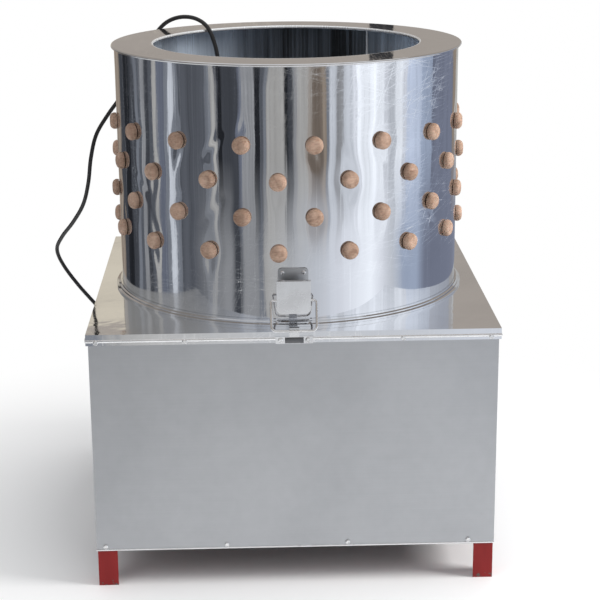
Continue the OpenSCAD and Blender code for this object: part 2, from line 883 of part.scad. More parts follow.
module belt_span(turn, pitch_r) {
    rotate([0, 0, turn]) translate([pitch_r, 0, 0]) rotate([90, 0, 0])
        linear_extrude(span_len) belt_section(0, 0);
}

// Two arcs joined by two straight spans, all tangent
module drive_belt() {
    color("#232323") translate([0, 0, belt_z]) union() {
        belt_arc(axis_turn + wrap_turn, 360 - 2 * wrap_turn, driven_r);
        belt_span(axis_turn + wrap_turn, driven_r);
        translate([motor_x, motor_y, 0]) {
            belt_arc(axis_turn - wrap_turn, 2 * wrap_turn, drive_r);
            belt_span(axis_turn - wrap_turn, drive_r);
        }
    }
}

// Motor

module at_motor(z) {
    translate([motor_x, motor_y, z]) children();
}

module motor_body() {
    color("#3d5a6c") difference() {
        at_motor(motor_body_z) union() {
            cylinder(r = core_r, h = motor_len);
            for (turn = fin_turns) rotate([0, 0, turn])
                translate([core_r - fin_t, -fin_t / 2, 0]) cube([motor_r - core_r + fin_t, fin_t, motor_len]);
            for (x = [-foot_x, foot_x - foot_w_x])
                translate([x, core_r * 0.5, 0])
                    cube([foot_w_x, motor_reach - core_r * 0.5 - seat, motor_len]);
        }
        at_motor(motor_body_z - cut) cylinder(r = rotor_r + 0.5, h = motor_len + 2 * cut);
        motor_bolt_holes(bolt_depth + cut);
    }
}

// A bell at each end of the body; the upper one stands inside the fan cover
module motor_end_bells() {
    color("#35505f") {
        at_motor(motor_low) difference() {
            union() {
                translate([0, 0, bell_t * 0.4]) cylinder(r = core_r + 4, h = bell_t * 0.6 - seat);
                cylinder(r1 = core_r * 0.45, r2 = core_r, h = bell_t * 0.5);
            }
            translate([0, 0, -cut]) cylinder(d = motor_shaft_d + 2 * run_fit, h = bell_t + 2 * cut);
        }
        at_motor(motor_top + seat) difference() {
            cylinder(r = core_r - 2, h = bell_t * 0.6 - seat);
            translate([0, 0, -cut]) cylinder(d = motor_shaft_d + 2 * run_fit, h = bell_t + 2 * cut);
        }
    }
}

module motor_fan_cover() {
    cover_h = bell_t * 0.6 + fan_room;
    color("#3d5a6c") at_motor(motor_top + seat) difference() {
        cylinder(r = core_r, h = cover_h);
        translate([0, 0, -cut]) cylinder(r = core_r - cover_t, h = cover_h + cut - cover_t);
        for (ring = [1:3], i = [0:11]) rotate([0, 0, i * 30 + ring * 15])
            translate([core_r * ring * 0.24, 0, cover_h - cover_t - cut])
                cylinder(r = cover_hole_r, h = cover_t + 2 * cut);
    }
}

module motor_fan() {
    color("#2b2b2b") at_motor(fan_z + fan_lift) difference() {
        union() {
            cylinder(r = core_r * 0.85, h = fan_blade_t);
            cylinder(d = motor_shaft_d + 10, h = fan_h);
            for (turn = [0:45:315]) rotate([0, 0, turn])
                translate([motor_shaft_d / 2 + 3, -fan_blade_t / 2, 0])
                    cube([core_r * 0.82 - motor_shaft_d / 2 - 3, fan_blade_t, fan_h]);
        }
        translate([0, 0, -cut]) cylinder(d = motor_shaft_d + 2 * press_fit, h = fan_h + 2 * cut);
    }
}

module motor_terminal_box() {
    color("#3d5a6c") at_motor(motor_body_z + motor_len * 0.45) {
        translate([motor_r + seat, -terminal_box[1] / 2, 0]) cube(terminal_box);
        translate([motor_r + seat, -terminal_lid[1] / 2, (terminal_box[2] - terminal_lid[2]) / 2])
            translate([terminal_box[0], 0, 0]) cube(terminal_lid);
    }
}

module motor_rotor() {
    color("#9aa0a5") {
        at_motor(motor_shaft_low)
            cylinder(d = motor_shaft_d, h = fan_z + fan_lift + fan_h - cut - motor_shaft_low);
        at_motor(motor_body_z + 8) cylinder(r = rotor_r, h = motor_len - 16);
    }
}

module motor_bolt_holes(reach) {
    for (x = [-1, 1], z = motor_bolt_z)
        translate([motor_x + x * motor_bolt_x, motor_plate_y - reach, z]) rotate([-90, 0, 0])
            cylinder(d = motor_bolt_d + 2 * loose, h = reach + motor_plate_t + angle_t + 3);
}

module motor_plate() {
    half_w = foot_x + 12;
    low = motor_bolt_z[0] - motor_plate_edge;
    high = motor_bolt_z[1] + motor_plate_edge;
    color("#7d2424") difference() {
        translate([motor_x - half_w, motor_plate_y, low]) cube([2 * half_w, motor_plate_t, high - low]);
        motor_bolt_holes(cut);
    }
}

// Bolts of the spindle housing, and of the motor, whose bolts reach through the rails and plate into its feet
module frame_bolts() {
    color("#a9adb0") {
        translate([0, 0, flange_z + housing_flange_t + seat]) each_housing_bolt()
            bolt(housing_bolt_d, housing_flange_t + angle_t + 8);
        for (x = [-1, 1], z = motor_bolt_z)
            translate([motor_x + x * motor_bolt_x, rail_half + angle_t + 2 * seat, z])
                rotate([-90, 0, 0]) bolt(motor_bolt_d, motor_plate_t + angle_t + bolt_depth);
    }
}

// Feather pan

// Everything above the sloping floor's upper face, lowered by the given depth
module above_floor(drop) {
    rotate([0, 0, pan_turn]) translate([0, 0, pan_mid_z - drop]) rotate([0, pan_slope, 0])
        translate([-2 * pan_out_r, -2 * pan_out_r, 0]) cube([4 * pan_out_r, 4 * pan_out_r, 4 * pan_out_r]);
}

module outlet_column(grow, low, high) {
    rotate([0, 0, pan_turn]) translate([outlet_mid - outlet_len / 2 - grow, -outlet_w / 2 - grow, low])
        cube([outlet_len + 2 * grow, outlet_w + 2 * grow, high - low]);
}

module feather_pan_wall() {
    color("#b4b8ba") intersection() {
        translate([0, 0, chute_low]) tube(pan_out_r, pan_in_r, plate_under - seat - chute_low);
        above_floor(pan_t);
    }
}

// Sloping floor with a collar round the shaft and a hole over the chute
module feather_pan_floor() {
    color("#b4b8ba") difference() {
        intersection() {
            translate([0, 0, chute_low]) cylinder(r = pan_in_r - loose, h = plate_under - chute_low);
            above_floor(pan_t);
        }
        difference() {
            above_floor(0);
            translate([0, 0, chute_low]) cylinder(r = collar_r + pan_t, h = collar_top - chute_low);
        }
        translate([0, 0, chute_low]) cylinder(r = collar_r, h = cabinet_h);
        outlet_column(0, chute_low, cabinet_h);
    }
}

module feather_chute() {
    color("#b4b8ba") difference() {
        outlet_column(pan_t, chute_low, cabinet_h);
        outlet_column(0, chute_low - cut, cabinet_h + cut);
        above_floor(pan_t + seat);
    }
}

// Latch

module at_pivot() {
    translate([0, pivot_y, pivot_z]) children();
}

// Plate on the drum wall with two ears that hold the hinge pin
module latch_base() {
    back = pivot_out - seat * 2;
    color("#c9ccce") at_pivot() difference() {
        union() {
            translate([-ear_x, back - 2, -lever_low + 1]) cube([2 * ear_x, 2, lever_low + lever_h * 0.7]);
            for (side = [0, 1]) mirror([side, 0, 0]) translate([ear_x - ear_t, 0, 0]) {
                translate([0, 0, -5]) cube([ear_t, back, 10]);
                rotate([0, 90, 0]) cylinder(r = 5, h = ear_t);
            }
        }
        cross_pin(pin_d + 2 * press_fit, lever_w);
    }
}

module latch_pin() {
    color("#b5b9bc") at_pivot() cross_pin(pin_d, lever_w + 3);
}

// A folded channel: face, two cheeks and a pull lip at the top
module latch_lever() {
    face_out = lever_in + latch_t;
    cheek_back = 7;
    color("#c9ccce") at_pivot() difference() {
        union() {
            translate([-lever_w / 2, -face_out, -lever_low]) cube([lever_w, latch_t, lever_low + lever_h]);
            translate([-lever_w / 2, -face_out - 7, lever_h - latch_t]) cube([lever_w, 8, latch_t]);
            for (side = [0, 1]) mirror([side, 0, 0]) translate([cheek_in, 0, 0]) along_x(latch_t) polygon([
                [-face_out + latch_t / 2, -lever_low], [0, -lever_low], [cheek_back, -3],
                [cheek_back, bail_throw + 5], [-1, lever_h * 0.62], [-face_out + latch_t / 2, lever_h * 0.7]
            ]);
        }
        cross_pin(pin_d + 2 * run_fit, lever_w + 2 * cut);
        translate([0, 0, bail_throw]) cross_pin(bail_wire_d + 2 * run_fit, lever_w + 2 * cut);
        for (side = [-1, 1]) translate([side * lever_w / 2, 0, -lever_low]) rotate([0, 45, 0])
            cube([lever_chamfer * sqrt(2), lever_w, lever_chamfer * sqrt(2)], center = true);
    }
}

// A bent wire loop; its turned-in ends hinge in the lever's cheeks
module latch_bail() {
    straight = bail_len - bail_bend;
    color("#d0d3d5") translate([0, pivot_y, pivot_z + bail_throw]) rotate([-bail_tilt, 0, 0]) {
        for (side = [0, 1]) mirror([side, 0, 0]) {
            translate([cheek_in - 0.5, 0, 0]) rotate([0, 90, 0])
                cylinder(d = bail_wire_d, h = bail_leg_x - bail_elbow - cheek_in + 0.5);
            translate([bail_leg_x - bail_elbow, 0, -bail_elbow]) rotate([90, 0, 0])
                rotate_extrude(angle = 90) translate([bail_elbow, 0]) circle(d = bail_wire_d);
            translate([bail_leg_x, 0, -straight]) cylinder(d = bail_wire_d, h = straight - bail_elbow);
            translate([bail_leg_x - bail_bend, 0, -straight]) rotate([-90, 0, 0])
                rotate_extrude(angle = 90) translate([bail_bend, 0]) circle(d = bail_wire_d);
        }
        translate([0, 0, -bail_len]) cross_pin(bail_wire_d, 2 * (bail_leg_x - bail_bend));
    }
}

// Plate under the flange screws with a tongue that hooks over the bail's bar
module latch_catch() {
    front = -(plate_half + seat + latch_t);
    tongue_z = bar_z + bail_wire_d / 2 + bar_room;
    color("#c9ccce") difference() {
        union() {
            translate([-catch_w / 2, front, flange_screw_z - catch_h / 2]) cube([catch_w, latch_t, catch_h]);
            translate([-tongue_w / 2, front, flange_screw_z])
                cube([tongue_w, latch_t, tongue_z + latch_t - flange_screw_z]);
            translate([-tongue_w / 2, bar_y - bail_wire_d / 2 - 1, tongue_z])
                cube([tongue_w, front - bar_y + bail_wire_d / 2 + 1 + latch_t, latch_t]);
        }
        flange_holes();
    }
}

// Screws

module flange_screws() {
    color("#d5d7d9") {
        for (turn = [0:90:270])
            on_face(turn, plate_half + seat, flange_screw_x, flange_screw_z) screw(flange_grip + 2);
        on_face(0, plate_half + latch_t + 2 * seat, catch_screw_x, flange_screw_z)
            screw(flange_grip + latch_t + 2);
    }
}

module panel_screws() {
    color("#d5d7d9") for (turn = [0:90:270])
        on_face(turn, panel_half + seat, panel_screw_x, panel_screw_z) screw(panel_grip + 2);
}

// Switch

module at_button(side) {
    translate([switch_x + side * button_gap / 2, panel_half + seat + switch_plate_t, switch_z])
        rotate([-90, 0, 0]) children();
}

module switch_box() {
    color("#2e3133") difference() {
        union() {
            translate([switch_x - switch_w / 2, panel_half + seat, switch_z - switch_h / 2])
                cube([switch_w, switch_plate_t, switch_h]);
            translate([switch_x - switch_w / 2 + switch_neck, panel_half - switch_depth,
                       switch_z - switch_h / 2 + switch_neck])
                cube([switch_w - 2 * switch_neck, switch_depth + cut, switch_h - 2 * switch_neck]);
        }
        for (side = [-1, 1]) at_button(side) translate([0, 0, -button_bore])
            cylinder(d = button_d + 2 * run_fit, h = button_bore + cut);
    }
}

module push_button(side) {
    low = button_travel + 1 - button_bore;
    shoulder = button_out - button_edge;
    at_button(side) {
        translate([0, 0, low]) cylinder(d = button_d, h = shoulder - low);
        translate([0, 0, shoulder]) cylinder(d1 = button_d, d2 = button_d - 2 * button_edge, h = button_edge);
    }
}

module start_button() { color("#2f8a3d") push_button(1); }
module stop_button() { color("#c22a2a") push_button(-1); }

// Mains lead

// Screwed body, nut and a flexible sleeve that tapers down to the lead
module cord_gland() {
    color("#1d1d1d") translate([gland_x, panel_half, gland_z]) rotate([-90, 0, 0]) {
        translate([0, 0, -panel_t - gland_thread])
            cylinder(d = gland_thread_d, h = panel_t + gland_thread + cut);
        translate([0, 0, seat]) cylinder(d = gland_hex * 1.12, h = gland_nut, $fn = 6);
        translate([0, 0, gland_nut])
            cylinder(d1 = gland_thread_d, d2 = lead_d + 2, h = gland_face[1] - panel_half - gland_nut);
        translate([0, 0, -panel_t - seat - gland_nut]) cylinder(d = gland_hex * 1.2, h = gland_nut, $fn = 6);
    }
}

function route_point(i) = lead_route[max(0, min(len(lead_route) - 1, i))];

// A smooth curve through the route's points
function lead_point(i, t) =
    let (
        b = route_point(i), c = route_point(i + 1),
        a = i == 0 ? 2 * b - c : route_point(i - 1),
        d = i == len(lead_route) - 2 ? 2 * c - b : route_point(i + 2)
    )
    (2 * b + (c - a) * t + (2 * a - 5 * b + 4 * c - d) * t * t + (3 * b - a - 3 * c + d) * t * t * t) / 2;

lead_line = [
    for (i = [0:len(lead_route) - 2], k = [0:lead_steps - 1]) lead_point(i, k / lead_steps),
    plug_at
];

function unit(v) = v / norm(v);

// Direction of the lead at each ring; both ends leave square to what they meet
function lead_way(i) =
    i == 0 ? [0, 1, 0] :
    i == len(lead_line) - 1 ? [0, 0, -1] : unit(lead_line[i + 1] - lead_line[i - 1]);

// A side vector carried along the line without twisting
function carried(side, way) = unit(side - (side * way) * way);

lead_frames = [
    for (i = 0, side = carried([1, 0, 0], lead_way(0)); i < len(lead_line);
         i = i + 1, side = i < len(lead_line) ? carried(side, lead_way(i)) : side)
        [side, cross(lead_way(i), side)]
];

function ring_points(i) = [
    for (k = [0:lead_sides - 1])
        let (a = 360 * k / lead_sides)
        lead_line[i] + lead_d / 2 * (cos(a) * lead_frames[i][0] + sin(a) * lead_frames[i][1])
];

module power_cord() {
    n = lead_sides;
    rings = len(lead_line);
    points = [for (i = [0:rings - 1]) each ring_points(i)];
    sides = [
        for (i = [0:rings - 2], k = [0:n - 1])
            let (a = i * n + k, b = i * n + (k + 1) % n)
            each [[a, a + n, b], [b, a + n, b + n]]
    ];
    first = [for (k = [1:n - 2]) [0, k, k + 1]];
    last = [for (k = [1:n - 2]) [(rings - 1) * n, (rings - 1) * n + k + 1, (rings - 1) * n + k]];
    color("#171717") polyhedron(points, concat(sides, first, last));
}

// Steps of the plug's flexible sleeve, each wider than the one above it
function sleeve_points() = [
    for (i = [0:sleeve_ribs - 1])
        let (r = lead_d / 2 + 1 + 1.4 * i, top = -plug_neck * i / sleeve_ribs, step = plug_neck / sleeve_ribs)
        each [[r, top], [r + 0.6, top - step * 0.65], [r, top - step * 0.75], [r, top - step * 0.98]]
];

// Moulded plug that hangs on the lead: ribbed sleeve, round body and flat blades
module plug() {
    color("#1d1d1d") translate(plug_at) {
        rotate_extrude() polygon(concat([[0, 0]], sleeve_points(), [
            [plug_r - 3, -plug_neck - 6], [plug_r - 1, -plug_neck - 14], [plug_r - 1, -plug_len + 10],
            [plug_r, -plug_len + 8], [plug_r, -plug_len], [0, -plug_len]
        ]));
        for (side = [-1, 1])
            translate([(side * blade_gap - blade[0]) / 2, -blade[1] / 2, -plug_len - blade[2]])
                cube([blade[0], blade[1], blade[2] + cut]);
        translate([0, earth_pin_y, -plug_len - blade[2]]) cylinder(d = earth_pin_d, h = blade[2] + cut);
    }
}

post_front_left();
post_front_right();
post_rear_left();
post_rear_right();
top_rails();
bottom_rails();
side_rails();
spindle_beams();
motor_rails();
front_panel();
rear_panel();
left_panel();
right_panel();
top_plate();
drum_shell();
drum_rim();
drum_foot_ring();
drum_clips();
wall_fingers_row_1();
wall_fingers_row_2();
wall_fingers_row_3();
wall_fingers_row_4();
turntable_disc();
turntable_fingers_outer();
turntable_fingers_inner();
turntable_hub();
hub_bolts();
cap_nut();
main_shaft();
spindle_housing();
bearing_outer_rings();
bearing_inner_rings();
bearing_balls();
driven_pulley();
drive_pulley();
drive_belt();
motor_body();
motor_end_bells();
motor_fan_cover();
motor_fan();
motor_terminal_box();
motor_rotor();
motor_plate();
frame_bolts();
feather_pan_wall();
feather_pan_floor();
feather_chute();
latch_base();
latch_pin();
latch_lever();
latch_bail();
latch_catch();
flange_screws();
panel_screws();
switch_box();
start_button();
stop_button();
cord_gland();
power_cord();
plug();
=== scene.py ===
"""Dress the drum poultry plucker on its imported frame: camera, lead, finishes and small parts."""

import logging
import math
from dataclasses import dataclass, field
from enum import Enum
from typing import Any, Callable, ClassVar, Optional, Sequence, Union

import bpy
import numpy as np
from mathutils import Matrix, Vector


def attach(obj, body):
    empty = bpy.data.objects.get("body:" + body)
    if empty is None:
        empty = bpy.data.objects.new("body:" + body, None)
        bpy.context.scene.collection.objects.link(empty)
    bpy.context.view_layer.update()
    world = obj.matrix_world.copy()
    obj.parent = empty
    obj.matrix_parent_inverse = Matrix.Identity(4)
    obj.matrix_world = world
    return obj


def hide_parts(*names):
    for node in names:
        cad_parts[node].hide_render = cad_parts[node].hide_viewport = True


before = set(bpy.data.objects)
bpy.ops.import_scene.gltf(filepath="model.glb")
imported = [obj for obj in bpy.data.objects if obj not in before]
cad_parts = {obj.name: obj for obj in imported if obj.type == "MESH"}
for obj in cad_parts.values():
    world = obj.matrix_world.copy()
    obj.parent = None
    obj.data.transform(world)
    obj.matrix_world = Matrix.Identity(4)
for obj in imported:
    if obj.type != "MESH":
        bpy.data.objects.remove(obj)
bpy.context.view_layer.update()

LOG = logging.getLogger("plucker")

# Limits in the rules of a selection: how much of a direction lies along an axis or across it, and
# how far a place may be off its level
ALONG, ACROSS, SLACK = 0.9, 0.1, 1e-5

Piece = bpy.types.Object
Pair = tuple[float, float]
Point = tuple[float, float, float]
Colour = tuple[float, float, float]
Feed = Union["Value", bpy.types.NodeSocket, float, Sequence[float]]
Sockets = dict[str, Feed]
Stops = Sequence[tuple[float, Colour]]
Rule = Callable[[Vector, Vector], bool]


class Kind(Enum):
    """The mesh elements that a selection can hold."""

    VERTEX = "VERT"
    EDGE = "EDGE"
    FACE = "FACE"


class Body(Enum):
    """The bodies of the frame that pieces ride on."""

    ROOT = "root"


# Shader maths


class Value:
    """A shader socket that takes part in Python arithmetic."""

    def __init__(self, graph: "Graph", socket: bpy.types.NodeSocket) -> None:
        """Wrap one output socket of a graph."""
        self.graph, self.socket = graph, socket

    def maths(self, operation: str, *others: Feed) -> "Value":
        """Add one Math node after this value, with others in its further sockets."""
        feeds = dict(enumerate((self, *others)))
        return self.graph.read("ShaderNodeMath", feeds, {"operation": operation})

    def __add__(self, other: Feed) -> "Value":
        """Sum with a value or number."""
        return self.maths("ADD", other)

    def __radd__(self, other: float) -> "Value":
        """Sum with a number on the left."""
        return self.maths("ADD", other)

    def __sub__(self, other: Feed) -> "Value":
        """Difference with a value or number."""
        return self.maths("SUBTRACT", other)

    def __rsub__(self, other: float) -> "Value":
        """Difference from a number on the left."""
        return self.graph.read("ShaderNodeMath", {0: other, 1: self}, {"operation": "SUBTRACT"})

    def __mul__(self, other: Feed) -> "Value":
        """Product with a value or number."""
        return self.maths("MULTIPLY", other)

    def __truediv__(self, other: Feed) -> "Value":
        """Quotient by a value or number."""
        return self.maths("DIVIDE", other)

    def band(self, low: float, high: float) -> "Value":
        """Map the stretch from low to high to 0..1, and hold the rest at its ends."""
        feeds = {"Value": self, "From Min": low, "From Max": high}
        return self.graph.read("ShaderNodeMapRange", feeds, {"clamp": True})


class Graph:
    """The node tree of one material or world."""

    def __init__(self, tree: bpy.types.NodeTree) -> None:
        """Empty a tree and start on it."""
        self.tree = tree
        tree.nodes.clear()

    @classmethod
    def material(cls, name: str) -> tuple[bpy.types.Material, "Graph"]:
        """Start a material.

        Args:
            name: The material's name.

        Returns:
            The material and its empty graph.
        """
        made = bpy.data.materials.new(name)
        made.use_nodes = True
        return made, cls(made.node_tree)

    def add(
        self,
        kind: str,
        settings: Optional[dict[str, Any]] = None,
        feeds: Optional[dict[Union[str, int], Feed]] = None,
    ) -> bpy.types.Node:
        """Add a node, set it up and feed its sockets.

        Args:
            kind: The node's type.
            settings: The node's own settings; "stops" fills a colour ramp, "steps" makes it jump.
            feeds: Values or links of its input sockets, by name or number.

        Returns:
            The new node.
        """
        node = self.tree.nodes.new(kind)
        for key, value in (settings or {}).items():
            if key == "stops":
                self._fill_ramp(node.color_ramp, value)
            elif key == "steps":
                node.color_ramp.interpolation = "CONSTANT" if value else "LINEAR"
            else:
                setattr(node, key, value)
        for key, value in (feeds or {}).items():
            self.feed(node.inputs[key], value)
        return node

    def read(
        self,
        kind: str,
        feeds: dict[Union[str, int], Feed],
        settings: Optional[dict[str, Any]] = None,
        output: Union[str, int] = 0,
    ) -> Value:
        """Add a node as above and wrap one of its outputs, by name or number."""
        return Value(self, self.add(kind, settings, feeds).outputs[output])

    def surface(self, kind: str, feeds: dict[Union[str, int], Feed]) -> None:
        """Add a shader as above and make it the material's surface."""
        shader = self.add(kind, None, feeds)
        self.add("ShaderNodeOutputMaterial", None, {"Surface": shader.outputs[0]})

    def feed(self, socket: bpy.types.NodeSocket, value: Feed) -> None:
        """Link or set one input socket.

        Args:
            socket: The input socket.
            value: A wrapped value, a socket, or a plain number or tuple.
        """
        if isinstance(value, Value):
            self.tree.links.new(value.socket, socket)
        elif isinstance(value, bpy.types.NodeSocket):
            self.tree.links.new(value, socket)
        else:
            socket.default_value = value

    @staticmethod
    def _fill_ramp(ramp: bpy.types.ColorRamp, stops: Stops) -> None:
        """Give a colour ramp its stops.

        Args:
            ramp: The ramp to fill.
            stops: Pairs of place and colour, in order.
        """
        while len(ramp.elements) > 1:
            ramp.elements.remove(ramp.elements[-1])
        for index, (place, colour) in enumerate(stops):
            element = ramp.elements[0] if index == 0 else ramp.elements.new(place)
            element.position = place
            element.color = (*colour, 1.0)

    def place(self) -> Value:
        """The point on the surface, in the frame's metres."""
        return self.read("ShaderNodeTexCoord", {}, output="Object")

    def parts(self, vector: Value) -> tuple[Value, Value, Value]:
        """Split a vector into its three coordinates."""
        x, y, z = self.add("ShaderNodeSeparateXYZ", None, {0: vector}).outputs
        return Value(self, x), Value(self, y), Value(self, z)

    def vector(self, x: Feed, y: Feed, z: Feed) -> Value:
        """Join three numbers or values into a vector."""
        return self.read("ShaderNodeCombineXYZ", {0: x, 1: y, 2: z})

    def stretched(self, vector: Value, scale: Point) -> Value:
        """Scale a vector along its axes."""
        return self.read("ShaderNodeMapping", {"Vector": vector, "Scale": scale})

    def turned(self, vector: Value, degrees: float) -> Value:
        """Turn a vector round the axis that points to the back."""
        turn = (0.0, math.radians(degrees), 0.0)
        return self.read("ShaderNodeMapping", {"Vector": vector, "Rotation": turn})

    def noise(
        self, vector: Value, scale: float, detail: float = 2.0, distortion: float = 0.0
    ) -> Value:
        """Read a noise texture, about 0 to 1, with detail octaves, at a place that may warp."""
        feeds = {"Vector": vector, "Scale": scale, "Detail": detail, "Distortion": distortion}
        return self.read("ShaderNodeTexNoise", feeds)

    def streaks(self, bearing: Value, height: Value, grain: Point, detail: float) -> Value:
        """Noise in upright streaks: the grain is its fineness across and along, and its depth."""
        across, along, depth = grain
        return self.noise(self.vector(bearing * across, height * along, depth), 1.0, detail)

    def bearing(self) -> tuple[Value, Value]:
        """The surface point's bearing from the front, -1 to 1 in half turns, and its height."""
        x, y, z = self.parts(self.place())
        return x.maths("ARCTAN2", y * -1.0) / math.pi, z

    def cells(self, vector: Value, scale: float) -> Value:
        """Add a Voronoi texture.

        Args:
            vector: Where it is read.
            scale: Its fineness.

        Returns:
            The cell's colour as a number.
        """
        feeds = {"Vector": vector, "Scale": scale}
        colour = self.read("ShaderNodeTexVoronoi", feeds, output="Color")
        return self.read("ShaderNodeSeparateColor", {0: colour})

    def mix(self, factor: Feed, first: Union[Value, Colour], second: Union[Value, Colour]) -> Value:
        """Mix two colours: a factor of 0 gives the first and 1 the second.

        Args:
            factor: The share of the second colour.
            first: A colour or a colour value.
            second: A colour or a colour value.

        Returns:
            The mixed colour.
        """
        sides = [c if isinstance(c, Value) else (*c, 1.0) for c in (first, second)]
        feeds = {0: factor, 6: sides[0], 7: sides[1]}
        return self.read("ShaderNodeMix", feeds, {"data_type": "RGBA"}, 2)

    def scaled(self, colour: Value, value: Value) -> Value:
        """Make a colour brighter or darker by a value."""
        feeds = {"Vector": colour, "Scale": value}
        return self.read("ShaderNodeVectorMath", feeds, {"operation": "SCALE"})

    def ramp(self, factor: Value, stops: Stops, steps: bool = False) -> Value:
        """Look a value up in a colour ramp, which jumps from stop to stop if it has steps."""
        return self.read("ShaderNodeValToRGB", {0: factor}, {"stops": stops, "steps": steps})

    def seen(self) -> Value:
        """Tell the rays that show a surface from those that only carry light.

        Returns:
            1 for a ray that shows the surface, or else 0.
        """
        rays = self.add("ShaderNodeLightPath").outputs
        direct = Value(self, rays["Is Camera Ray"]).maths("MAXIMUM", rays["Is Glossy Ray"])
        return direct.maths("MAXIMUM", rays["Is Transmission Ray"])

    def bump(self, height: Value, strength: float, distance: float) -> Value:
        """Turn a height of 0 to 1, where 1 is a distance in metres, into a normal."""
        feeds = {"Height": height, "Strength": strength, "Distance": distance}
        return self.read("ShaderNodeBump", feeds)


# Finishes


@dataclass(frozen=True)
class Finish:
    """A surface finish, made once as a material and shared by its pieces."""

    name: str
    slot: str
    made: ClassVar[dict[str, bpy.types.Material]] = {}

    def material(self) -> bpy.types.Material:
        """Make the material, or give the one that is made.

        Returns:
            The finish's material.
        """
        if self.name not in Finish.made:
            made, graph = Graph.material(self.name)
            graph.surface("ShaderNodeBsdfPrincipled", self.sockets(graph))
            Finish.made[self.name] = made
        return Finish.made[self.name]

    def sockets(self, graph: Graph) -> Sockets:
        """What the shader's sockets hold in this finish, other than those left alone."""
        raise NotImplementedError

    def dress(self, piece: Piece) -> None:
        """Put this finish, alone, on a piece."""
        piece.data.materials.clear()
        piece.data.materials.append(self.material())


@dataclass(frozen=True)
class PolishedSteel(Finish):
    """Mirror-polished sheet with smears, hairline scratches and scuffed patches."""

    clean: Colour = (0.66, 0.665, 0.68)
    dull_and_painted_shade: Colour = (0.54, 0.545, 0.56)
    worn: Colour = (0.84, 0.85, 0.86)
    roughness: float = 0.035
    smear: float = 0.07
    scratch: float = 0.10
    worn_from: float = 0.11
    wave: float = 0.03
    hair_turns: tuple[float, ...] = (4.0, 27.0, -18.0, 71.0)

    def sockets(self, graph: Graph) -> Sockets:
        """Give the sockets: smears in the roughness, scratches and waves in the bump.

        Args:
            graph: The material's graph.

        Returns:
            What the sockets hold.
        """
        place = graph.place()
        smears = graph.noise(place, 7.0, 5.0, 0.6).band(0.42, 0.75)
        grain = graph.noise(graph.stretched(place, (260.0, 260.0, 5.0)), 1.0, 3.0)
        patch = graph.noise(place, 4.2, 3.0).band(0.46, 0.62)
        side = graph.parts(place)[0].band(self.worn_from, self.worn_from + 0.10)
        rubbed_and_painted_shade = graph.noise(graph.stretched(place, (26.0, 26.0, 70.0)), 1.0, 6.0, 0.9)
        scuffs = rubbed_and_painted_shade.band(0.54, 0.64) * patch * (side * 0.5 + 0.1)
        hairs = grain.band(0.60, 0.74) * 0.5
        for turn in self.hair_turns:
            along = graph.stretched(graph.turned(place, turn), (9.0, 9.0, 430.0))
            line = graph.noise(along, 1.0, 2.0).band(0.61, 0.66)
            hairs = hairs + line * patch * (side * 0.9 + 0.22)
        scratches = hairs.maths("MINIMUM", 1.0)
        tone = graph.mix(smears * 0.6, self.clean, self.dull_and_painted_shade)
        waves = graph.noise(place, 15.0, 2.0, 0.5) * self.wave
        marks = (scratches + scuffs * 0.5) * (self.scratch * 0.25)
        return {
            "Base Color": graph.mix(scuffs * 0.8 + scratches * 0.6, tone, self.worn),
            "Metallic": 1.0,
            "Roughness": self.roughness + smears * self.smear + scratches * 0.24 + scuffs * 0.34,
            "Normal": graph.bump(waves + marks, 1.0, 0.0008),
        }


@dataclass(frozen=True)
class PaintedLightSteel(Finish):
    """Inner drum face: painted reflection and painted shade along the back, in upright bands and
    streaks.
    """

    # The light colour is a painted reflection of the pale sky; the dark colour is painted shade.
    light: Colour = (0.75, 0.86, 1.0)
    dark: Colour = (0.022, 0.025, 0.028)
    # Share of the painted shade that darkens the back.
    rubbed_and_painted_shade: float = 0.72
    roughness: float = 0.20
    metallic: float = 0.5

    def sockets(self, graph: Graph) -> Sockets:
        """Give the sockets: painted reflection and shade, banded and streaked by bearing round the
        drum.

        Args:
            graph: The material's graph.

        Returns:
            What the sockets hold.
        """
        straight, z = graph.bearing()
        bands = graph.streaks(straight, z, (22.0, 0.8, 2.0), 2.0).band(0.38, 0.66)
        streaks = graph.streaks(straight, z, (150.0, 1.4, 5.0), 3.0).band(0.40, 0.70)
        # Painted shade: darker towards the back, starting further round on the right.
        dull_and_painted_shade = (straight.band(0.63, 0.88) + (straight * -1.0).band(0.875, 0.97)) * self.rubbed_and_painted_shade
        shade = (bands * 0.30 + streaks * 0.22 + dull_and_painted_shade).maths("MINIMUM", 1.0)
        return {
            "Base Color": graph.mix(shade, self.light, self.dark),
            "Metallic": self.metallic,
            "Roughness": self.roughness + streaks * 0.12,
            "Normal": graph.bump(streaks, 0.08, 0.0002),
        }


@dataclass(frozen=True)
class BrushedSteel(Finish):
    """Satin sheet with a fine grain along one axis, faint rolling marks and finger smudges."""

    light: Colour = (0.51, 0.522, 0.542)
    dark: Colour = (0.43, 0.441, 0.460)
    roughness: float = 0.38
    grain: Point = (3.0, 3.0, 900.0)

    def sockets(self, graph: Graph) -> Sockets:
        """Give the sockets: grain in colour, roughness and bump.

        Args:
            graph: The material's graph.

        Returns:
            What the sockets hold.
        """
        place = graph.place()
        grain = graph.noise(graph.stretched(place, self.grain), 1.0, 3.0)
        cloud = graph.noise(place, 5.0, 5.0, 0.4).band(0.3, 0.72)
        mottle = graph.noise(place, 60.0, 3.0).band(0.35, 0.7)
        shade = grain * 0.35 + cloud * 0.4 + mottle * 0.2
        return {
            "Base Color": graph.mix(shade, self.light, self.dark),
            "Metallic": 1.0,
            "Roughness": self.roughness + grain * 0.08 + cloud * 0.07,
            "Normal": graph.bump(grain * 0.7 + mottle * 0.3, 0.10, 0.0003),
        }


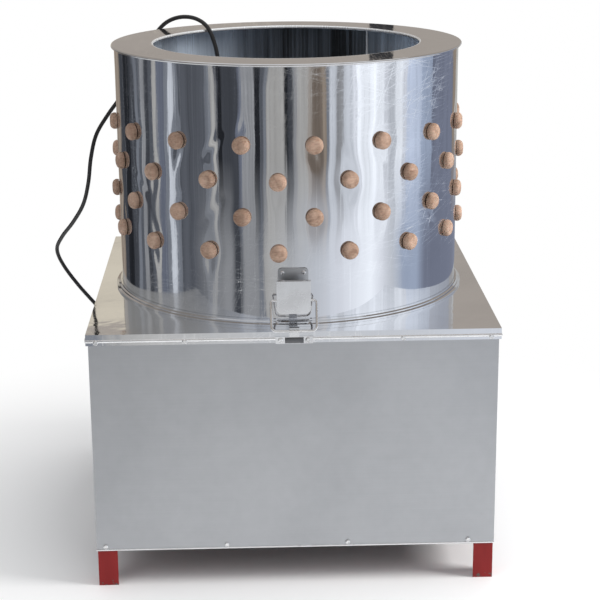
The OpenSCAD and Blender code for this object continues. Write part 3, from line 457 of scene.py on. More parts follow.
@dataclass(frozen=True)
class Paint(Finish):
    """Brushed-on paint with an uneven film, and bare metal where the foot scrapes the floor."""

    colour: Colour = (0.31, 0.020, 0.020)
    shade_colour: Colour = (0.19, 0.013, 0.013)
    bare: Colour = (0.12, 0.10, 0.09)
    roughness: float = 0.42
    scraped_to: float = 0.006

    def sockets(self, graph: Graph) -> Sockets:
        """Give the sockets: film thickness in the colour, chips near the floor.

        Args:
            graph: The material's graph.

        Returns:
            What the sockets hold.
        """
        place = graph.place()
        height = graph.parts(place)[2]
        film = graph.noise(graph.stretched(place, (30.0, 30.0, 9.0)), 1.0, 4.0).band(0.3, 0.7)
        peel = graph.noise(place, 420.0, 2.0)
        speck = graph.noise(place, 150.0, 4.0)
        low = 1.0 - height.band(0.0, self.scraped_to * 3.0)
        chips = (speck + low * 0.28).band(0.78, 0.82)
        painted = graph.mix(film * 0.6 + peel * 0.2, self.colour, self.shade_colour)
        return {
            "Base Color": graph.mix(chips, painted, self.bare),
            "Specular IOR Level": 0.25,
            "Roughness": self.roughness + film * 0.12 + chips * 0.2,
            "Normal": graph.bump(peel * 0.5 + film - chips, 0.18, 0.0004),
        }


@dataclass(frozen=True)
class Rubber(Finish):
    """Moulded natural rubber: blotched tan with flow lines, and a matt skin."""

    light: Colour = (0.56, 0.385, 0.29)
    dark: Colour = (0.17, 0.095, 0.058)
    roughness: float = 0.5
    blotch: float = 55.0

    def sockets(self, graph: Graph) -> Sockets:
        """Give the sockets: blotches and flow lines in the colour, skin in the bump.

        Args:
            graph: The material's graph.

        Returns:
            What the sockets hold.
        """
        place = graph.place()
        piece_tone = graph.noise(place, 11.0, 1.0).band(0.3, 0.7)
        blotches = graph.noise(place, self.blotch, 4.0, 0.8).band(0.36, 0.66)
        flow = graph.noise(graph.stretched(place, (140.0, 140.0, 420.0)), 1.0, 3.0, 1.6)
        flow = flow.band(0.42, 0.62)
        skin = graph.noise(place, 900.0, 2.0)
        blend = piece_tone * 0.35 + blotches * 0.4 + flow * 0.25
        return {
            "Base Color": graph.mix(blend, self.light, self.dark),
            "Roughness": self.roughness + blotches * 0.14,
            "Normal": graph.bump(skin * 0.4 + flow * 0.6, 0.22, 0.0004),
            "Subsurface Weight": 0.05,
            "Subsurface Scale": 0.002,
        }


@dataclass(frozen=True)
class Machined(Finish):
    """Turned or plated steel with fine tool marks and a light oil film."""

    light: Colour = (0.56, 0.565, 0.57)
    dark: Colour = (0.40, 0.405, 0.41)
    roughness: float = 0.28
    marks: Point = (90.0, 90.0, 2600.0)

    def sockets(self, graph: Graph) -> Sockets:
        """Give the sockets: tool marks in roughness and bump.

        Args:
            graph: The material's graph.

        Returns:
            What the sockets hold.
        """
        place = graph.place()
        marks = graph.noise(graph.stretched(place, self.marks), 1.0, 2.0)
        film = graph.noise(place, 30.0, 4.0).band(0.35, 0.7)
        return {
            "Base Color": graph.mix(film * 0.7 + marks * 0.2, self.light, self.dark),
            "Metallic": 1.0,
            "Roughness": self.roughness + film * 0.12 + marks * 0.06,
            "Normal": graph.bump(marks, 0.08, 0.0002),
        }


@dataclass(frozen=True)
class Spangled(Finish):
    """Galvanised sheet with its crystal pattern."""

    light: Colour = (0.60, 0.615, 0.63)
    dark: Colour = (0.44, 0.455, 0.47)
    roughness: float = 0.36
    crystals: float = 70.0

    def sockets(self, graph: Graph) -> Sockets:
        """Give the sockets: one tone and gloss for each crystal.

        Args:
            graph: The material's graph.

        Returns:
            What the sockets hold.
        """
        place = graph.place()
        warped = graph.noise(place, 40.0, 2.0)
        crystals = graph.cells(place, self.crystals)
        return {
            "Base Color": graph.mix(crystals * 0.8 + warped * 0.2, self.light, self.dark),
            "Metallic": 1.0,
            "Roughness": self.roughness + crystals * 0.16,
            "Normal": graph.bump(warped, 0.06, 0.0004),
        }


@dataclass(frozen=True)
class Cast(Finish):
    """Rough cast or sprayed metal under a thin coat, with dust in patches."""

    colour: Colour = (0.13, 0.145, 0.155)
    worn: Colour = (0.22, 0.225, 0.225)
    roughness: float = 0.55
    metallic: float = 0.25
    grain: float = 520.0
    octaves: float = 3.0
    patches: Pair = (22.0, 5.0)
    patch_band: Pair = (0.42, 0.78)
    patch_share: float = 0.5
    relief: Pair = (0.25, 0.0005)

    def sockets(self, graph: Graph) -> Sockets:
        """Give the sockets: grain in the bump, patches in colour and gloss.

        Args:
            graph: The material's graph.

        Returns:
            What the sockets hold.
        """
        place = graph.place()
        grain = graph.noise(place, self.grain, self.octaves)
        patch = graph.noise(place, *self.patches).band(*self.patch_band)
        shade = patch * self.patch_share + grain * 0.15
        return {
            "Base Color": graph.mix(shade, self.colour, self.worn),
            "Metallic": self.metallic,
            "Roughness": self.roughness + patch * 0.15,
            "Normal": graph.bump(grain, *self.relief),
        }


@dataclass(frozen=True)
class Moulded(Cast):
    """Moulded plastic or a rubber sheath with a fine spark texture and handling marks."""

    colour: Colour = (0.018, 0.018, 0.019)
    worn: Colour = (0.05, 0.05, 0.052)
    roughness: float = 0.38
    metallic: float = 0.0
    grain: float = 1100.0
    octaves: float = 2.0
    patches: Pair = (26.0, 4.0)
    patch_band: Pair = (0.45, 0.8)
    patch_share: float = 0.6
    relief: Pair = (0.16, 0.0003)


# The bench: modelling by operators


class Bench:
    """Operators of the modelling bench, with the selection kept in hand."""

    near: ClassVar[float] = 1e-6

    @staticmethod
    def clear() -> None:
        """Leave edit mode and deselect everything."""
        if bpy.context.mode != "OBJECT":
            bpy.ops.object.mode_set(mode="OBJECT")
        bpy.ops.object.select_all(action="DESELECT")

    @classmethod
    def take(cls, piece: Piece) -> None:
        """Make one piece the only selected and the active one.

        Args:
            piece: The piece to work on.
        """
        cls.clear()
        piece.select_set(True)
        bpy.context.view_layer.objects.active = piece

    @classmethod
    def start(cls, add: Callable[..., Any], name: str, **settings: Any) -> Piece:
        """Add a primitive as the start of a piece.

        Args:
            add: The operator that adds it.
            name: The piece's name.
            settings: The operator's settings.

        Returns:
            The new object, with its place applied.
        """
        cls.clear()
        add(**settings)
        piece = bpy.context.object
        piece.name = name
        piece.data.name = name
        cls.take(piece)
        bpy.ops.object.transform_apply(location=True, rotation=True, scale=True)
        return piece

    @classmethod
    def pick(cls, piece: Piece, kind: Kind, keep: Rule) -> None:
        """Enter edit mode with the elements selected that a rule keeps.

        Args:
            piece: The piece to edit.
            kind: Which elements the rule reads.
            keep: Takes an element's centre and its normal, or an edge's direction.
        """
        cls.take(piece)
        bpy.ops.object.mode_set(mode="EDIT")
        bpy.ops.mesh.select_mode(type=kind.value)
        bpy.ops.mesh.select_all(action="DESELECT")
        bpy.ops.object.mode_set(mode="OBJECT")
        mesh = piece.data
        places = [v.co for v in mesh.vertices]
        if kind is Kind.FACE:
            found = [(face, face.center, face.normal) for face in mesh.polygons]
        elif kind is Kind.EDGE:
            ends = [(e, places[e.vertices[0]], places[e.vertices[1]]) for e in mesh.edges]
            found = [(e, (a + b) / 2, (b - a).normalized()) for e, a, b in ends]
        else:
            found = [(v, v.co, v.normal) for v in mesh.vertices]
        for element, centre, way in found:
            if keep(centre, way):
                element.select = True
        bpy.ops.object.mode_set(mode="EDIT")

    @classmethod
    def bevel(cls, piece: Piece, keep: Rule, offset: float, segments: int) -> None:
        """Round the edges that a rule keeps.

        Args:
            piece: The piece to change.
            keep: Takes an edge's centre and its direction.
            offset: The width of the rounding.
            segments: Its number of steps.
        """
        cls.pick(piece, Kind.EDGE, keep)
        bpy.ops.mesh.bevel(offset=offset, segments=segments, affect="EDGES")
        cls.clear()

    @classmethod
    def modify(cls, piece: Piece, kind: str, **settings: Any) -> None:
        """Add a modifier and apply it.

        Args:
            piece: The piece to change.
            kind: The modifier's type.
            settings: Its settings.
        """
        cls.take(piece)
        modifier = piece.modifiers.new(kind.title(), kind)
        for key, value in settings.items():
            setattr(modifier, key, value)
        bpy.ops.object.modifier_apply(modifier=modifier.name)

    @classmethod
    def smooth(cls, piece: Piece, angle: float = 35.0) -> None:
        """Shade a piece smooth, with edges sharper than the angle kept."""
        cls.take(piece)
        bpy.ops.object.shade_smooth_by_angle(angle=math.radians(angle))

    @classmethod
    def done(cls, piece: Piece, angle: float) -> Piece:
        """Merge doubled points, turn every face outwards and shade the piece smooth.

        Args:
            piece: The finished shape.
            angle: Edges sharper than this many degrees stay sharp.

        Returns:
            The piece.
        """
        cls.take(piece)
        bpy.ops.object.mode_set(mode="EDIT")
        bpy.ops.mesh.select_all(action="SELECT")
        bpy.ops.mesh.remove_doubles(threshold=cls.near)
        bpy.ops.mesh.normals_make_consistent(inside=False)
        bpy.ops.object.mode_set(mode="OBJECT")
        cls.smooth(piece, angle)
        return piece

    @classmethod
    def spread(cls, model: Piece, name: str, places: Sequence[Matrix]) -> Piece:
        """Copy a model to several places and join the copies.

        Args:
            model: The model, made at the origin. It is used up.
            name: The joined piece's name.
            places: One matrix for each copy.

        Returns:
            The joined piece.
        """
        copies = []
        for matrix in places:
            copy = model.copy()
            copy.data = model.data.copy()
            copy.data.transform(matrix)
            bpy.context.scene.collection.objects.link(copy)
            copies.append(copy)
        cls.clear()
        bpy.data.objects.remove(model)
        for copy in copies:
            copy.select_set(True)
        bpy.context.view_layer.objects.active = copies[0]
        bpy.ops.object.join()
        copies[0].name = name
        copies[0].data.name = name
        return copies[0]


def turn_about(axis: str, degrees: float) -> Matrix:
    """The turn about one axis by an angle."""
    return Matrix.Rotation(math.radians(degrees), 4, axis)


def upright(centre: Vector, way: Vector) -> bool:
    """Whether an edge runs, or a face looks, along the upright axis."""
    return abs(way.z) > ALONG


def top_edge(height: float) -> Rule:
    """The rule that keeps the level edges at a height."""
    return lambda centre, way: centre.z > height - SLACK and abs(way.z) < ACROSS


def hand_over(piece: Piece, finish: "Finishes", node: Optional[str] = None) -> None:
    """Dress a new piece, unless it is dressed, and set it on the frame's root.

    Args:
        piece: The finished piece.
        finish: Its finish.
        node: The CAD node that it stands for, if any.
    """
    if not piece.data.materials:
        finish.value.dress(piece)
    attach(piece, Body.ROOT.value)
    if node:
        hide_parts(node)
    LOG.info("in place: %s", piece.name)


# The studio


@dataclass(frozen=True)
class Lamp:
    """A soft lamp that shines on the object and isn't seen itself."""

    name: str
    at: Point
    size: Pair
    power: float
    colour: Colour

    def hang(self, aim: Point) -> None:
        """Hang the lamp.

        Args:
            aim: The point that it faces.
        """
        data = bpy.data.lights.new(self.name, "AREA")
        data.shape = "RECTANGLE"
        data.size, data.size_y = self.size
        data.energy = self.power
        data.color = self.colour
        lamp = bpy.data.objects.new(self.name, data)
        bpy.context.scene.collection.objects.link(lamp)
        lamp.location = self.at
        lamp.rotation_euler = (Vector(aim) - Vector(self.at)).to_track_quat("-Z", "Y").to_euler()
        lamp.visible_camera = False
        lamp.visible_glossy = False


@dataclass
class Studio:
    """Camera, floor, lamps and the ring of cards that the polished steel mirrors."""

    camera_at: Point = (-0.065626, -2.644350, 1.120673)
    pitch: float = 15.8893
    yaw: float = -1.8293
    roll: float = -0.4555
    lens: float = 98.577
    sensor: float = 36.0
    clip_end: float = 100.0
    floor_size: float = 40.0
    floor_colour: Colour = (0.94, 0.943, 0.946)
    floor_roughness: float = 0.7
    floor_gloss: float = 0.2
    floor_fade: Pair = (0.38, 0.95)
    world_colour: Colour = (0.97, 0.98, 1.0)
    world_strength: float = 0.55
    backdrop_strength: float = 0.95
    aim: Point = (0.0, 0.0, 0.45)
    lamps: tuple[Lamp, ...] = (
        Lamp("key_lamp", (2.9, -0.8, 1.9), (1.3, 1.3), 106.0, (1.0, 0.99, 0.975)),
        Lamp("fill_lamp", (-1.9, -2.2, 2.0), (1.4, 1.1), 8.0, (0.97, 0.985, 1.0)),
        Lamp("top_lamp", (0.2, 0.5, 3.1), (2.2, 2.2), 20.0, (1.0, 1.0, 1.0)),
    )

    def build(self) -> None:
        """Set up the whole studio."""
        view = bpy.context.scene.view_settings
        view.view_transform = "Standard"
        self._world()
        self._floor()
        CardRing().build()
        for lamp in self.lamps:
            lamp.hang(self.aim)
        LOG.info("studio: floor, ring of cards and %d lamps", len(self.lamps))

    def camera(self) -> None:
        """Make the camera at the photograph's viewing angle."""
        pitch, yaw, roll = (math.radians(a) for a in (self.pitch, self.yaw, self.roll))
        ahead = Vector(
            (-math.sin(yaw) * math.cos(pitch), math.cos(yaw) * math.cos(pitch), -math.sin(pitch))
        )
        level = Vector((math.cos(yaw), math.sin(yaw), 0.0))
        lift = level.cross(ahead)
        right = level * math.cos(roll) + lift * math.sin(roll)
        up = lift * math.cos(roll) - level * math.sin(roll)
        data = bpy.data.cameras.new("camera")
        data.lens = self.lens
        data.sensor_width = self.sensor
        data.clip_end = self.clip_end
        made = bpy.data.objects.new("camera", data)
        bpy.context.scene.collection.objects.link(made)
        turn = Matrix((right, up, -ahead)).transposed()
        made.matrix_world = Matrix.Translation(self.camera_at) @ turn.to_4x4()
        bpy.context.scene.camera = made
        LOG.info("camera: %.1f mm lens", self.lens)

    def _world(self) -> None:
        """Fill the world with soft, even light and a pale background."""
        world = bpy.data.worlds.new("soft_light")
        world.use_nodes = True
        graph = Graph(world.node_tree)
        extra = self.backdrop_strength - self.world_strength
        strength = graph.seen() * extra + self.world_strength
        light = graph.add(
            "ShaderNodeBackground", None, {"Color": (*self.world_colour, 1.0), "Strength": strength}
        )
        graph.add("ShaderNodeOutputWorld", None, {"Surface": light.outputs[0]})
        bpy.context.scene.world = world

    def _floor(self) -> None:
        """Lay the pale floor, which turns white away from the object."""
        floor = Bench.start(bpy.ops.mesh.primitive_plane_add, "floor", size=self.floor_size)
        made, graph = Graph.material("pale_floor")
        matt = graph.add("ShaderNodeBsdfPrincipled", None, {
            "Base Color": (*self.floor_colour, 1.0), "Roughness": self.floor_roughness,
            "Specular IOR Level": self.floor_gloss,
        })
        white = graph.add("ShaderNodeEmission", None, {
            "Color": (1.0, 1.0, 1.0, 1.0), "Strength": 1.0,
        })
        length = {"operation": "LENGTH"}
        away = graph.read("ShaderNodeVectorMath", {0: graph.place()}, length, "Value")
        far = away.band(*self.floor_fade) * graph.seen()
        graph.surface("ShaderNodeMixShader", {0: far, 1: matt.outputs[0], 2: white.outputs[0]})
        floor.data.materials.append(made)


class Tone(Enum):
    """Tones of the cards that the polished steel mirrors."""

    BLACK = (0.022, 0.024, 0.029)
    COAL = (0.070, 0.076, 0.090)
    SLATE = (0.125, 0.135, 0.158)
    STEEL = (0.175, 0.195, 0.250)
    GREY = (0.245, 0.265, 0.305)
    SILVER = (0.370, 0.380, 0.400)
    PALE = (0.540, 0.535, 0.520)
    BRIGHT = (0.740, 0.780, 0.850)
    GLEAM = (0.960, 1.000, 1.090)
    WHITE = (1.270, 1.330, 1.420)
    SKY = (0.740, 0.840, 1.040)
    MIST = (0.450, 0.530, 0.690)
    DUSK = (0.225, 0.250, 0.335)
    UMBER = (0.225, 0.185, 0.155)
    TAN = (0.340, 0.285, 0.235)
    SAND = (0.420, 0.380, 0.345)
    PARCHMENT = (0.700, 0.640, 0.530)


Cards = tuple[tuple[float, Tone], ...]


@dataclass(frozen=True)
class CardRing:
    """The ring of cards round the machine, by bearing from the front in degrees to the right."""

    radius: float = 1.5
    high: float = 2.3
    wobble: float = 0.012
    left: Cards = (
        (-180.0, Tone.TAN), (-140.0, Tone.COAL), (-131.0, Tone.BLACK), (-122.0, Tone.COAL),
        (-115.5, Tone.GREY), (-110.5, Tone.SLATE), (-105.5, Tone.SILVER), (-100.8, Tone.COAL),
        (-96.8, Tone.SLATE), (-92.6, Tone.PALE), (-88.9, Tone.STEEL), (-82.0, Tone.GREY),
        (-78.2, Tone.BRIGHT), (-74.9, Tone.GREY), (-71.7, Tone.SLATE), (-51.5, Tone.GREY),
        (-49.0, Tone.PALE), (-46.3, Tone.SLATE), (-43.7, Tone.BLACK), (-41.1, Tone.COAL),
        (-31.2, Tone.STEEL), (-29.0, Tone.SILVER), (-21.6, Tone.BLACK), (-17.0, Tone.SLATE),
        (-14.6, Tone.GREY), (-12.3, Tone.PALE), (-3.0, Tone.BLACK), (-0.8, Tone.COAL),
    )
    right: Cards = (
        (0.0, Tone.COAL), (1.5, Tone.SILVER), (4.0, Tone.PALE), (11.0, Tone.SAND),
        (13.2, Tone.UMBER), (18.0, Tone.TAN), (20.4, Tone.GREY), (22.7, Tone.BRIGHT),
        (27.5, Tone.SILVER), (32.3, Tone.BRIGHT), (37.4, Tone.GLEAM), (40.0, Tone.WHITE),
        (58.8, Tone.GLEAM), (61.8, Tone.BRIGHT), (67.9, Tone.WHITE), (74.3, Tone.GLEAM),
        (77.7, Tone.SKY), (88.6, Tone.MIST), (101.5, Tone.DUSK), (134.0, Tone.TAN),
        (145.0, Tone.PALE),
    )
    low: Cards = (
        (-180.0, Tone.GREY), (-50.0, Tone.SILVER), (-36.0, Tone.SILVER), (-34.0, Tone.COAL),
        (-30.5, Tone.COAL), (-28.5, Tone.SILVER), (-19.5, Tone.SILVER), (-18.0, Tone.GREY),
        (-15.5, Tone.GREY), (-14.0, Tone.PALE), (15.0, Tone.BRIGHT), (30.0, Tone.GLEAM),
        (50.0, Tone.WHITE), (58.0, Tone.GLEAM), (66.0, Tone.BRIGHT), (76.0, Tone.MIST),
        (86.0, Tone.MIST), (95.0, Tone.DUSK), (180.0, Tone.DUSK),
    )
    upper: Cards = (
        (-180.0, Tone.PALE), (-70.0, Tone.PALE), (-20.0, Tone.BRIGHT), (25.0, Tone.WHITE),
        (80.0, Tone.WHITE), (120.0, Tone.BRIGHT), (180.0, Tone.PALE),
    )
    behind: Cards = (
        (-180.0, Tone.PARCHMENT), (-120.0, Tone.PARCHMENT), (120.0, Tone.SAND), (180.0, Tone.SAND),
    )
    top: Tone = Tone.SAND
    foot_side: Pair = (-0.34, -0.22)
    foot_fade: Pair = (0.18, 0.42)
    foot_share: float = 0.95
    upper_fade: Pair = (0.62, 0.74)
    upper_share: float = 0.6
    behind_side: Pair = (0.84, 0.87)
    behind_fade: Pair = (0.62, 0.70)
    top_fade: Pair = (0.905, 0.925)
    glint_side: Pair = (-0.30, -0.20)
    glint_band: Pair = (0.64, 0.72)
    glint_share: float = 0.5
    strip: Pair = (168.3, 170.6)
    strip_high: Pair = (0.898, 1.04)
    strip_share: float = 0.95

    @staticmethod
    def _stops(cards: Cards, start: float, width: float) -> list[tuple[float, Colour]]:
        """Turn cards into the stops of a ramp that covers a width of bearings from its start."""
        return [((bearing - start) / width, tone.value) for bearing, tone in cards]

    def build(self) -> None:
        """Stand the ring round the machine, seen only in reflections."""
        ring = Bench.start(
            bpy.ops.mesh.primitive_cylinder_add, "card_ring", vertices=128, radius=self.radius,
            depth=self.high, location=(0.0, 0.0, self.high / 2), end_fill_type="NOTHING",
        )
        made, graph = Graph.material("cards")
        graph.surface("ShaderNodeBsdfPrincipled", {
            "Base Color": (0.0, 0.0, 0.0, 1.0), "Roughness": 1.0, "Specular IOR Level": 0.0,
            "Emission Strength": 1.0, "Emission Color": self._light(graph),
        })
        ring.data.materials.append(made)
        for kind in ("camera", "diffuse", "shadow", "volume_scatter"):
            setattr(ring, f"visible_{kind}", False)

    def _light(self, graph: Graph) -> Value:
        """The light of the ring: streaked cards, a pale foot, a warm top and a warm wall behind.

        Args:
            graph: The ring's graph.

        Returns:
            The colour of the light.
        """
        straight, z = graph.bearing()
        half = straight * 0.5 + 0.5
        cards = self._streaked(graph, straight, z)
        foot, upper, back = (
            graph.ramp(half, self._stops(tones, -180.0, 360.0))
            for tones in (self.low, self.upper, self.behind)
        )
        near_foot = (1.0 - z.band(*self.foot_fade)) * straight.band(*self.foot_side)
        cards = graph.mix(near_foot * self.foot_share, cards, foot)
        cards = graph.mix(z.band(*self.upper_fade) * self.upper_share, cards, upper)
        behind = straight.maths("ABSOLUTE").band(*self.behind_side) * z.band(*self.behind_fade)
        cards = graph.mix(behind, cards, back)
        cards = graph.mix(z.band(*self.top_fade), cards, self.top.value)
        left, right = (bearing / 180.0 for bearing in self.strip)
        bottom, top = self.strip_high
        across = straight.maths("GREATER_THAN", left) * straight.maths("LESS_THAN", right)
        strip = across * z.maths("GREATER_THAN", bottom) * z.maths("LESS_THAN", top)
        return graph.mix(strip * self.strip_share, cards, Tone.BLACK.value)

    def _streaked(self, graph: Graph, straight: Value, z: Value) -> Value:
        """The cards side by side, with upright streaks and glints.

        Args:
            graph: The ring's graph.
            straight: The bearing, -1 to 1.
            z: The height.

        Returns:
            The colour of the light.
        """
        drift = graph.streaks(straight, z, (9.0, 2.4, 0.0), 3.0) - 0.5
        turn = straight + drift * self.wobble
        left = graph.ramp(turn + 1.0, self._stops(self.left, -180.0, 180.0), steps=True)
        right = graph.ramp(turn, self._stops(self.right, 0.0, 180.0), steps=True)
        cards = graph.mix(turn.maths("GREATER_THAN", 0.0), left, right)
        broad = graph.streaks(straight, z, (34.0, 0.5, 3.0), 4.0)
        fine = graph.streaks(straight, z, (170.0, 0.35, 7.0), 3.0)
        cards = graph.scaled(cards, broad * 0.8 + fine * 0.9 + 0.15)
        glints = graph.streaks(turn, z, (240.0, 0.8, 11.0), 2.0).band(*self.glint_band)
        shown = glints * (1.0 - straight.band(*self.glint_side)) * self.glint_share
        return graph.mix(shown, cards, Tone.BRIGHT.value)


# The mains lead


@dataclass
class Lead:
    """The mains lead from its gland, over the rim, to the plug that hangs in the drum."""

    diameter: float = 0.007
    length: float = 1.684
    steps: int = 6
    exit: Point = (-0.020, 0.350, 0.140)
    route: list[Point] = field(default_factory=lambda: [
        (-0.020, 0.350, 0.140), (-0.020, 0.376, 0.138), (-0.020, 0.405, 0.122),
        (-0.022, 0.425, 0.092), (-0.027, 0.442, 0.055), (-0.038, 0.462, 0.022),
        (-0.060, 0.486, 0.006), (-0.098, 0.508, 0.004), (-0.145, 0.516, 0.004),
        (-0.190, 0.508, 0.004), (-0.230, 0.486, 0.006), (-0.258, 0.455, 0.022),
        (-0.273, 0.425, 0.055), (-0.283, 0.405, 0.100), (-0.297, 0.392, 0.150),
        (-0.320, 0.382, 0.203), (-0.352, 0.372, 0.252), (-0.387, 0.361, 0.300),
        (-0.413, 0.347, 0.345), (-0.421, 0.328, 0.380), (-0.407, 0.300, 0.411),
        (-0.382, 0.265, 0.446), (-0.359, 0.232, 0.486), (-0.346, 0.208, 0.530),
        (-0.339, 0.200, 0.575), (-0.328, 0.200, 0.616), (-0.307, 0.203, 0.650),
        (-0.282, 0.206, 0.683), (-0.259, 0.207, 0.720), (-0.238, 0.206, 0.760),
        (-0.219, 0.203, 0.790), (-0.199, 0.1975, 0.810), (-0.1745, 0.1905, 0.819),
        (-0.149, 0.1805, 0.817), (-0.129, 0.1675, 0.8035), (-0.117, 0.159, 0.775),
        (-0.110, 0.153, 0.738), (-0.101, 0.146, 0.700), (-0.094, 0.141, 0.664),
        (-0.090, 0.138, 0.632), (-0.090, 0.138, 0.610),
    ])

    def line(self) -> list[Vector]:
        """The lead's middle line: a smooth curve through the route's points.

        Returns:
            Points along the line.
        """
        points = [Vector(p) for p in self.route]
        last, found = len(points) - 1, []
        for i in range(last):
            b, c = points[i], points[i + 1]
            a = 2 * b - c if i == 0 else points[i - 1]
            d = 2 * c - b if i == last - 1 else points[i + 2]
            for k in range(self.steps):
                t = k / self.steps
                found.append(
                    (2 * b + (c - a) * t + (2 * a - 5 * b + 4 * c - d) * t * t
                     + (3 * b - a - 3 * c + d) * t ** 3) / 2
                )
        return [*found, points[last]]

    def build(self) -> None:
        data = bpy.data.curves.new("mains_lead", "CURVE")
        data.dimensions = "3D"
        data.bevel_depth = self.diameter / 2
        data.bevel_resolution = 4
        data.use_fill_caps = True
        points = self.line()
        spline = data.splines.new("POLY")
        spline.points.add(len(points) - 1)
        for target, point in zip(spline.points, points):
            target.co = (*point, 1.0)
        lead = bpy.data.objects.new("mains_lead", data)
        bpy.context.scene.collection.objects.link(lead)
        hand_over(lead, Finishes.CORD, "power_cord")
        LOG.info("mains lead: %.3f m", self.length)


# The drum


@dataclass(frozen=True)
class Crease:
    """A shallow fold in the drum wall between two points, by bearing in degrees and height."""

    start: Pair
    end: Pair
    depth: float = 0.00024
    width: float = 0.0065


@dataclass
class Drum:
    """The drum's polished wall, pulled in round the fingers and creased, with its welded seam."""

    radius: float = 0.275
    wall: float = 0.0015
    low: float = 0.4071
    high: float = 0.7984
    row_heights: tuple[float, ...] = (0.518, 0.572, 0.626, 0.680)
    per_row: int = 16
    row_turn: float = -4.4
    hole_radius: float = 0.010
    sides: int = 448
    cuts: int = 94
    pull: float = 0.0007
    pull_width: float = 0.021
    pull_least: float = 0.15
    buckle: float = 0.00055
    buckle_width: float = 0.0085
    buckle_length: float = 0.020
    buckle_lean: float = 0.35
    seed: int = 11
    seam_turn: float = 147.475
    seam_width: float = 0.0044
    seam_ripple: float = 0.0032
    seam_flat: float = 0.36
    seam_walls_in: float = 1.7
    seam_cuts: int = 359
    end_margin: float = 0.02
    foot_flat: Pair = (0.012, 0.05)
    rim_flat: Pair = (0.004, 0.03)
    waves: tuple[tuple[int, float, float], ...] = (
        (9, 0.00014, 0.4), (17, 0.00009, 2.1), (31, 0.00005, 4.0), (53, 0.00002, 1.0),
    )
    creases: tuple[Crease, ...] = (
        Crease((-28.8, 0.656), (-22.1, 0.694)),
        Crease((-61.3, 0.618), (-52.7, 0.590)),
        Crease((-52.8, 0.582), (-38.8, 0.598), 0.0002),
        Crease((-29.4, 0.555), (-22.5, 0.599), 0.0002, 0.009),
        Crease((16.6, 0.671), (18.2, 0.643), 0.00016, 0.009),
        Crease((18.9, 0.595), (20.6, 0.612), 0.00016),
        Crease((118.0, 0.60), (131.0, 0.64), 0.0002),
        Crease((-140.0, 0.55), (-151.0, 0.60), 0.0002),
    )

    def holes(self) -> np.ndarray:
        """The finger holes' bearings and heights.

        Returns:
            One row for each hole: bearing in radians from the front, and height.
        """
        pitch = 2.0 * math.pi / self.per_row
        start = math.radians(self.row_turn)
        return np.array([
            (start + (row % 2) * pitch / 2 + i * pitch, height)
            for row, height in enumerate(self.row_heights) for i in range(self.per_row)
        ])

    @staticmethod
    def _apart(bearing: np.ndarray, turn: Union[float, np.ndarray]) -> np.ndarray:
        """The shorter way round from one bearing to others, in radians."""
        return (bearing - turn + math.pi) % (2 * math.pi) - math.pi

    def _from_holes(self, bearing: np.ndarray, height: np.ndarray) -> np.ndarray:
        """Distances along the wall from points to all holes.

        Args:
            bearing: The points' bearings.
            height: The points' heights.

        Returns:
            One row for each point, one column for each hole.
        """
        holes = self.holes()
        across = self._apart(bearing[:, None], holes[None, :, 0])
        return np.hypot(across * self.radius, height[:, None] - holes[None, :, 1])

    def _from_crease(self, crease: Crease, bearing: np.ndarray, height: np.ndarray) -> np.ndarray:
        """Distances along the wall from points to a crease.

        Args:
            crease: The crease.
            bearing: The points' bearings.
            height: The points' heights.

        Returns:
            One distance for each point.
        """
        across = self._apart(bearing, math.radians(crease.start[0])) * self.radius
        spots = np.stack([across, height - crease.start[1]], 1)
        turn, rise = (end - start for start, end in zip(crease.start, crease.end))
        way = np.array([math.radians(turn) * self.radius, rise])
        share = np.clip(spots @ way / (way @ way), 0.0, 1.0)
        return np.linalg.norm(spots - share[:, None] * way, axis=1)

    def _sunk(self, bearing: np.ndarray, height: np.ndarray) -> np.ndarray:
        """How far the wall lies inside its full radius.

        Args:
            bearing: The points' bearings.
            height: The points' heights.

        Returns:
            One depth for each point.
        """
        draw = np.random.default_rng(self.seed)
        pulls = self.pull * draw.uniform(self.pull_least, 1.0, len(self.holes())) ** 1.5
        away = self._from_holes(bearing, height)
        sunk = (np.exp(-((away / self.pull_width) ** 2)) * pulls).sum(1)
        sunk += self._buckled(bearing, height)
        for crease in self.creases:
            away = self._from_crease(crease, bearing, height)
            sunk += crease.depth * np.exp(-((away / crease.width) ** 2))
        sunk += sum(a * (1.0 + np.sin(n * bearing + phase)) for n, a, phase in self.waves)
        (low_flat, low_fade), (high_flat, high_fade) = self.foot_flat, self.rim_flat
        ends = np.clip((height - self.low - low_flat) / low_fade, 0.0, 1.0)
        return sunk * ends * np.clip((self.high - high_flat - height) / high_fade, 0.0, 1.0)

    def _buckled(self, bearing: np.ndarray, height: np.ndarray) -> np.ndarray:
        """How far the wall is dented above and below its fingers.

        Args:
            bearing: The points' bearings.
            height: The points' heights.

        Returns:
            One depth for each point.
        """
        draw = np.random.default_rng(self.seed + 1)
        dented = np.zeros(len(bearing))
        for turn, level in self.holes():
            for side in (-1.0, 1.0):
                depth = self.buckle * draw.uniform(0.0, 1.0) ** 2
                lean = draw.uniform(-self.buckle_lean, self.buckle_lean)
                rise = (height - level) * side - self.buckle_length
                across = self._apart(bearing, turn) * self.radius - lean * rise
                reach = rise / self.buckle_length
                narrow = self.buckle_width * np.clip(1.0 - reach * 0.5, 0.5, 1.6)
                dented += depth * np.exp(-((across / narrow) ** 2) - reach ** 2)
        return dented

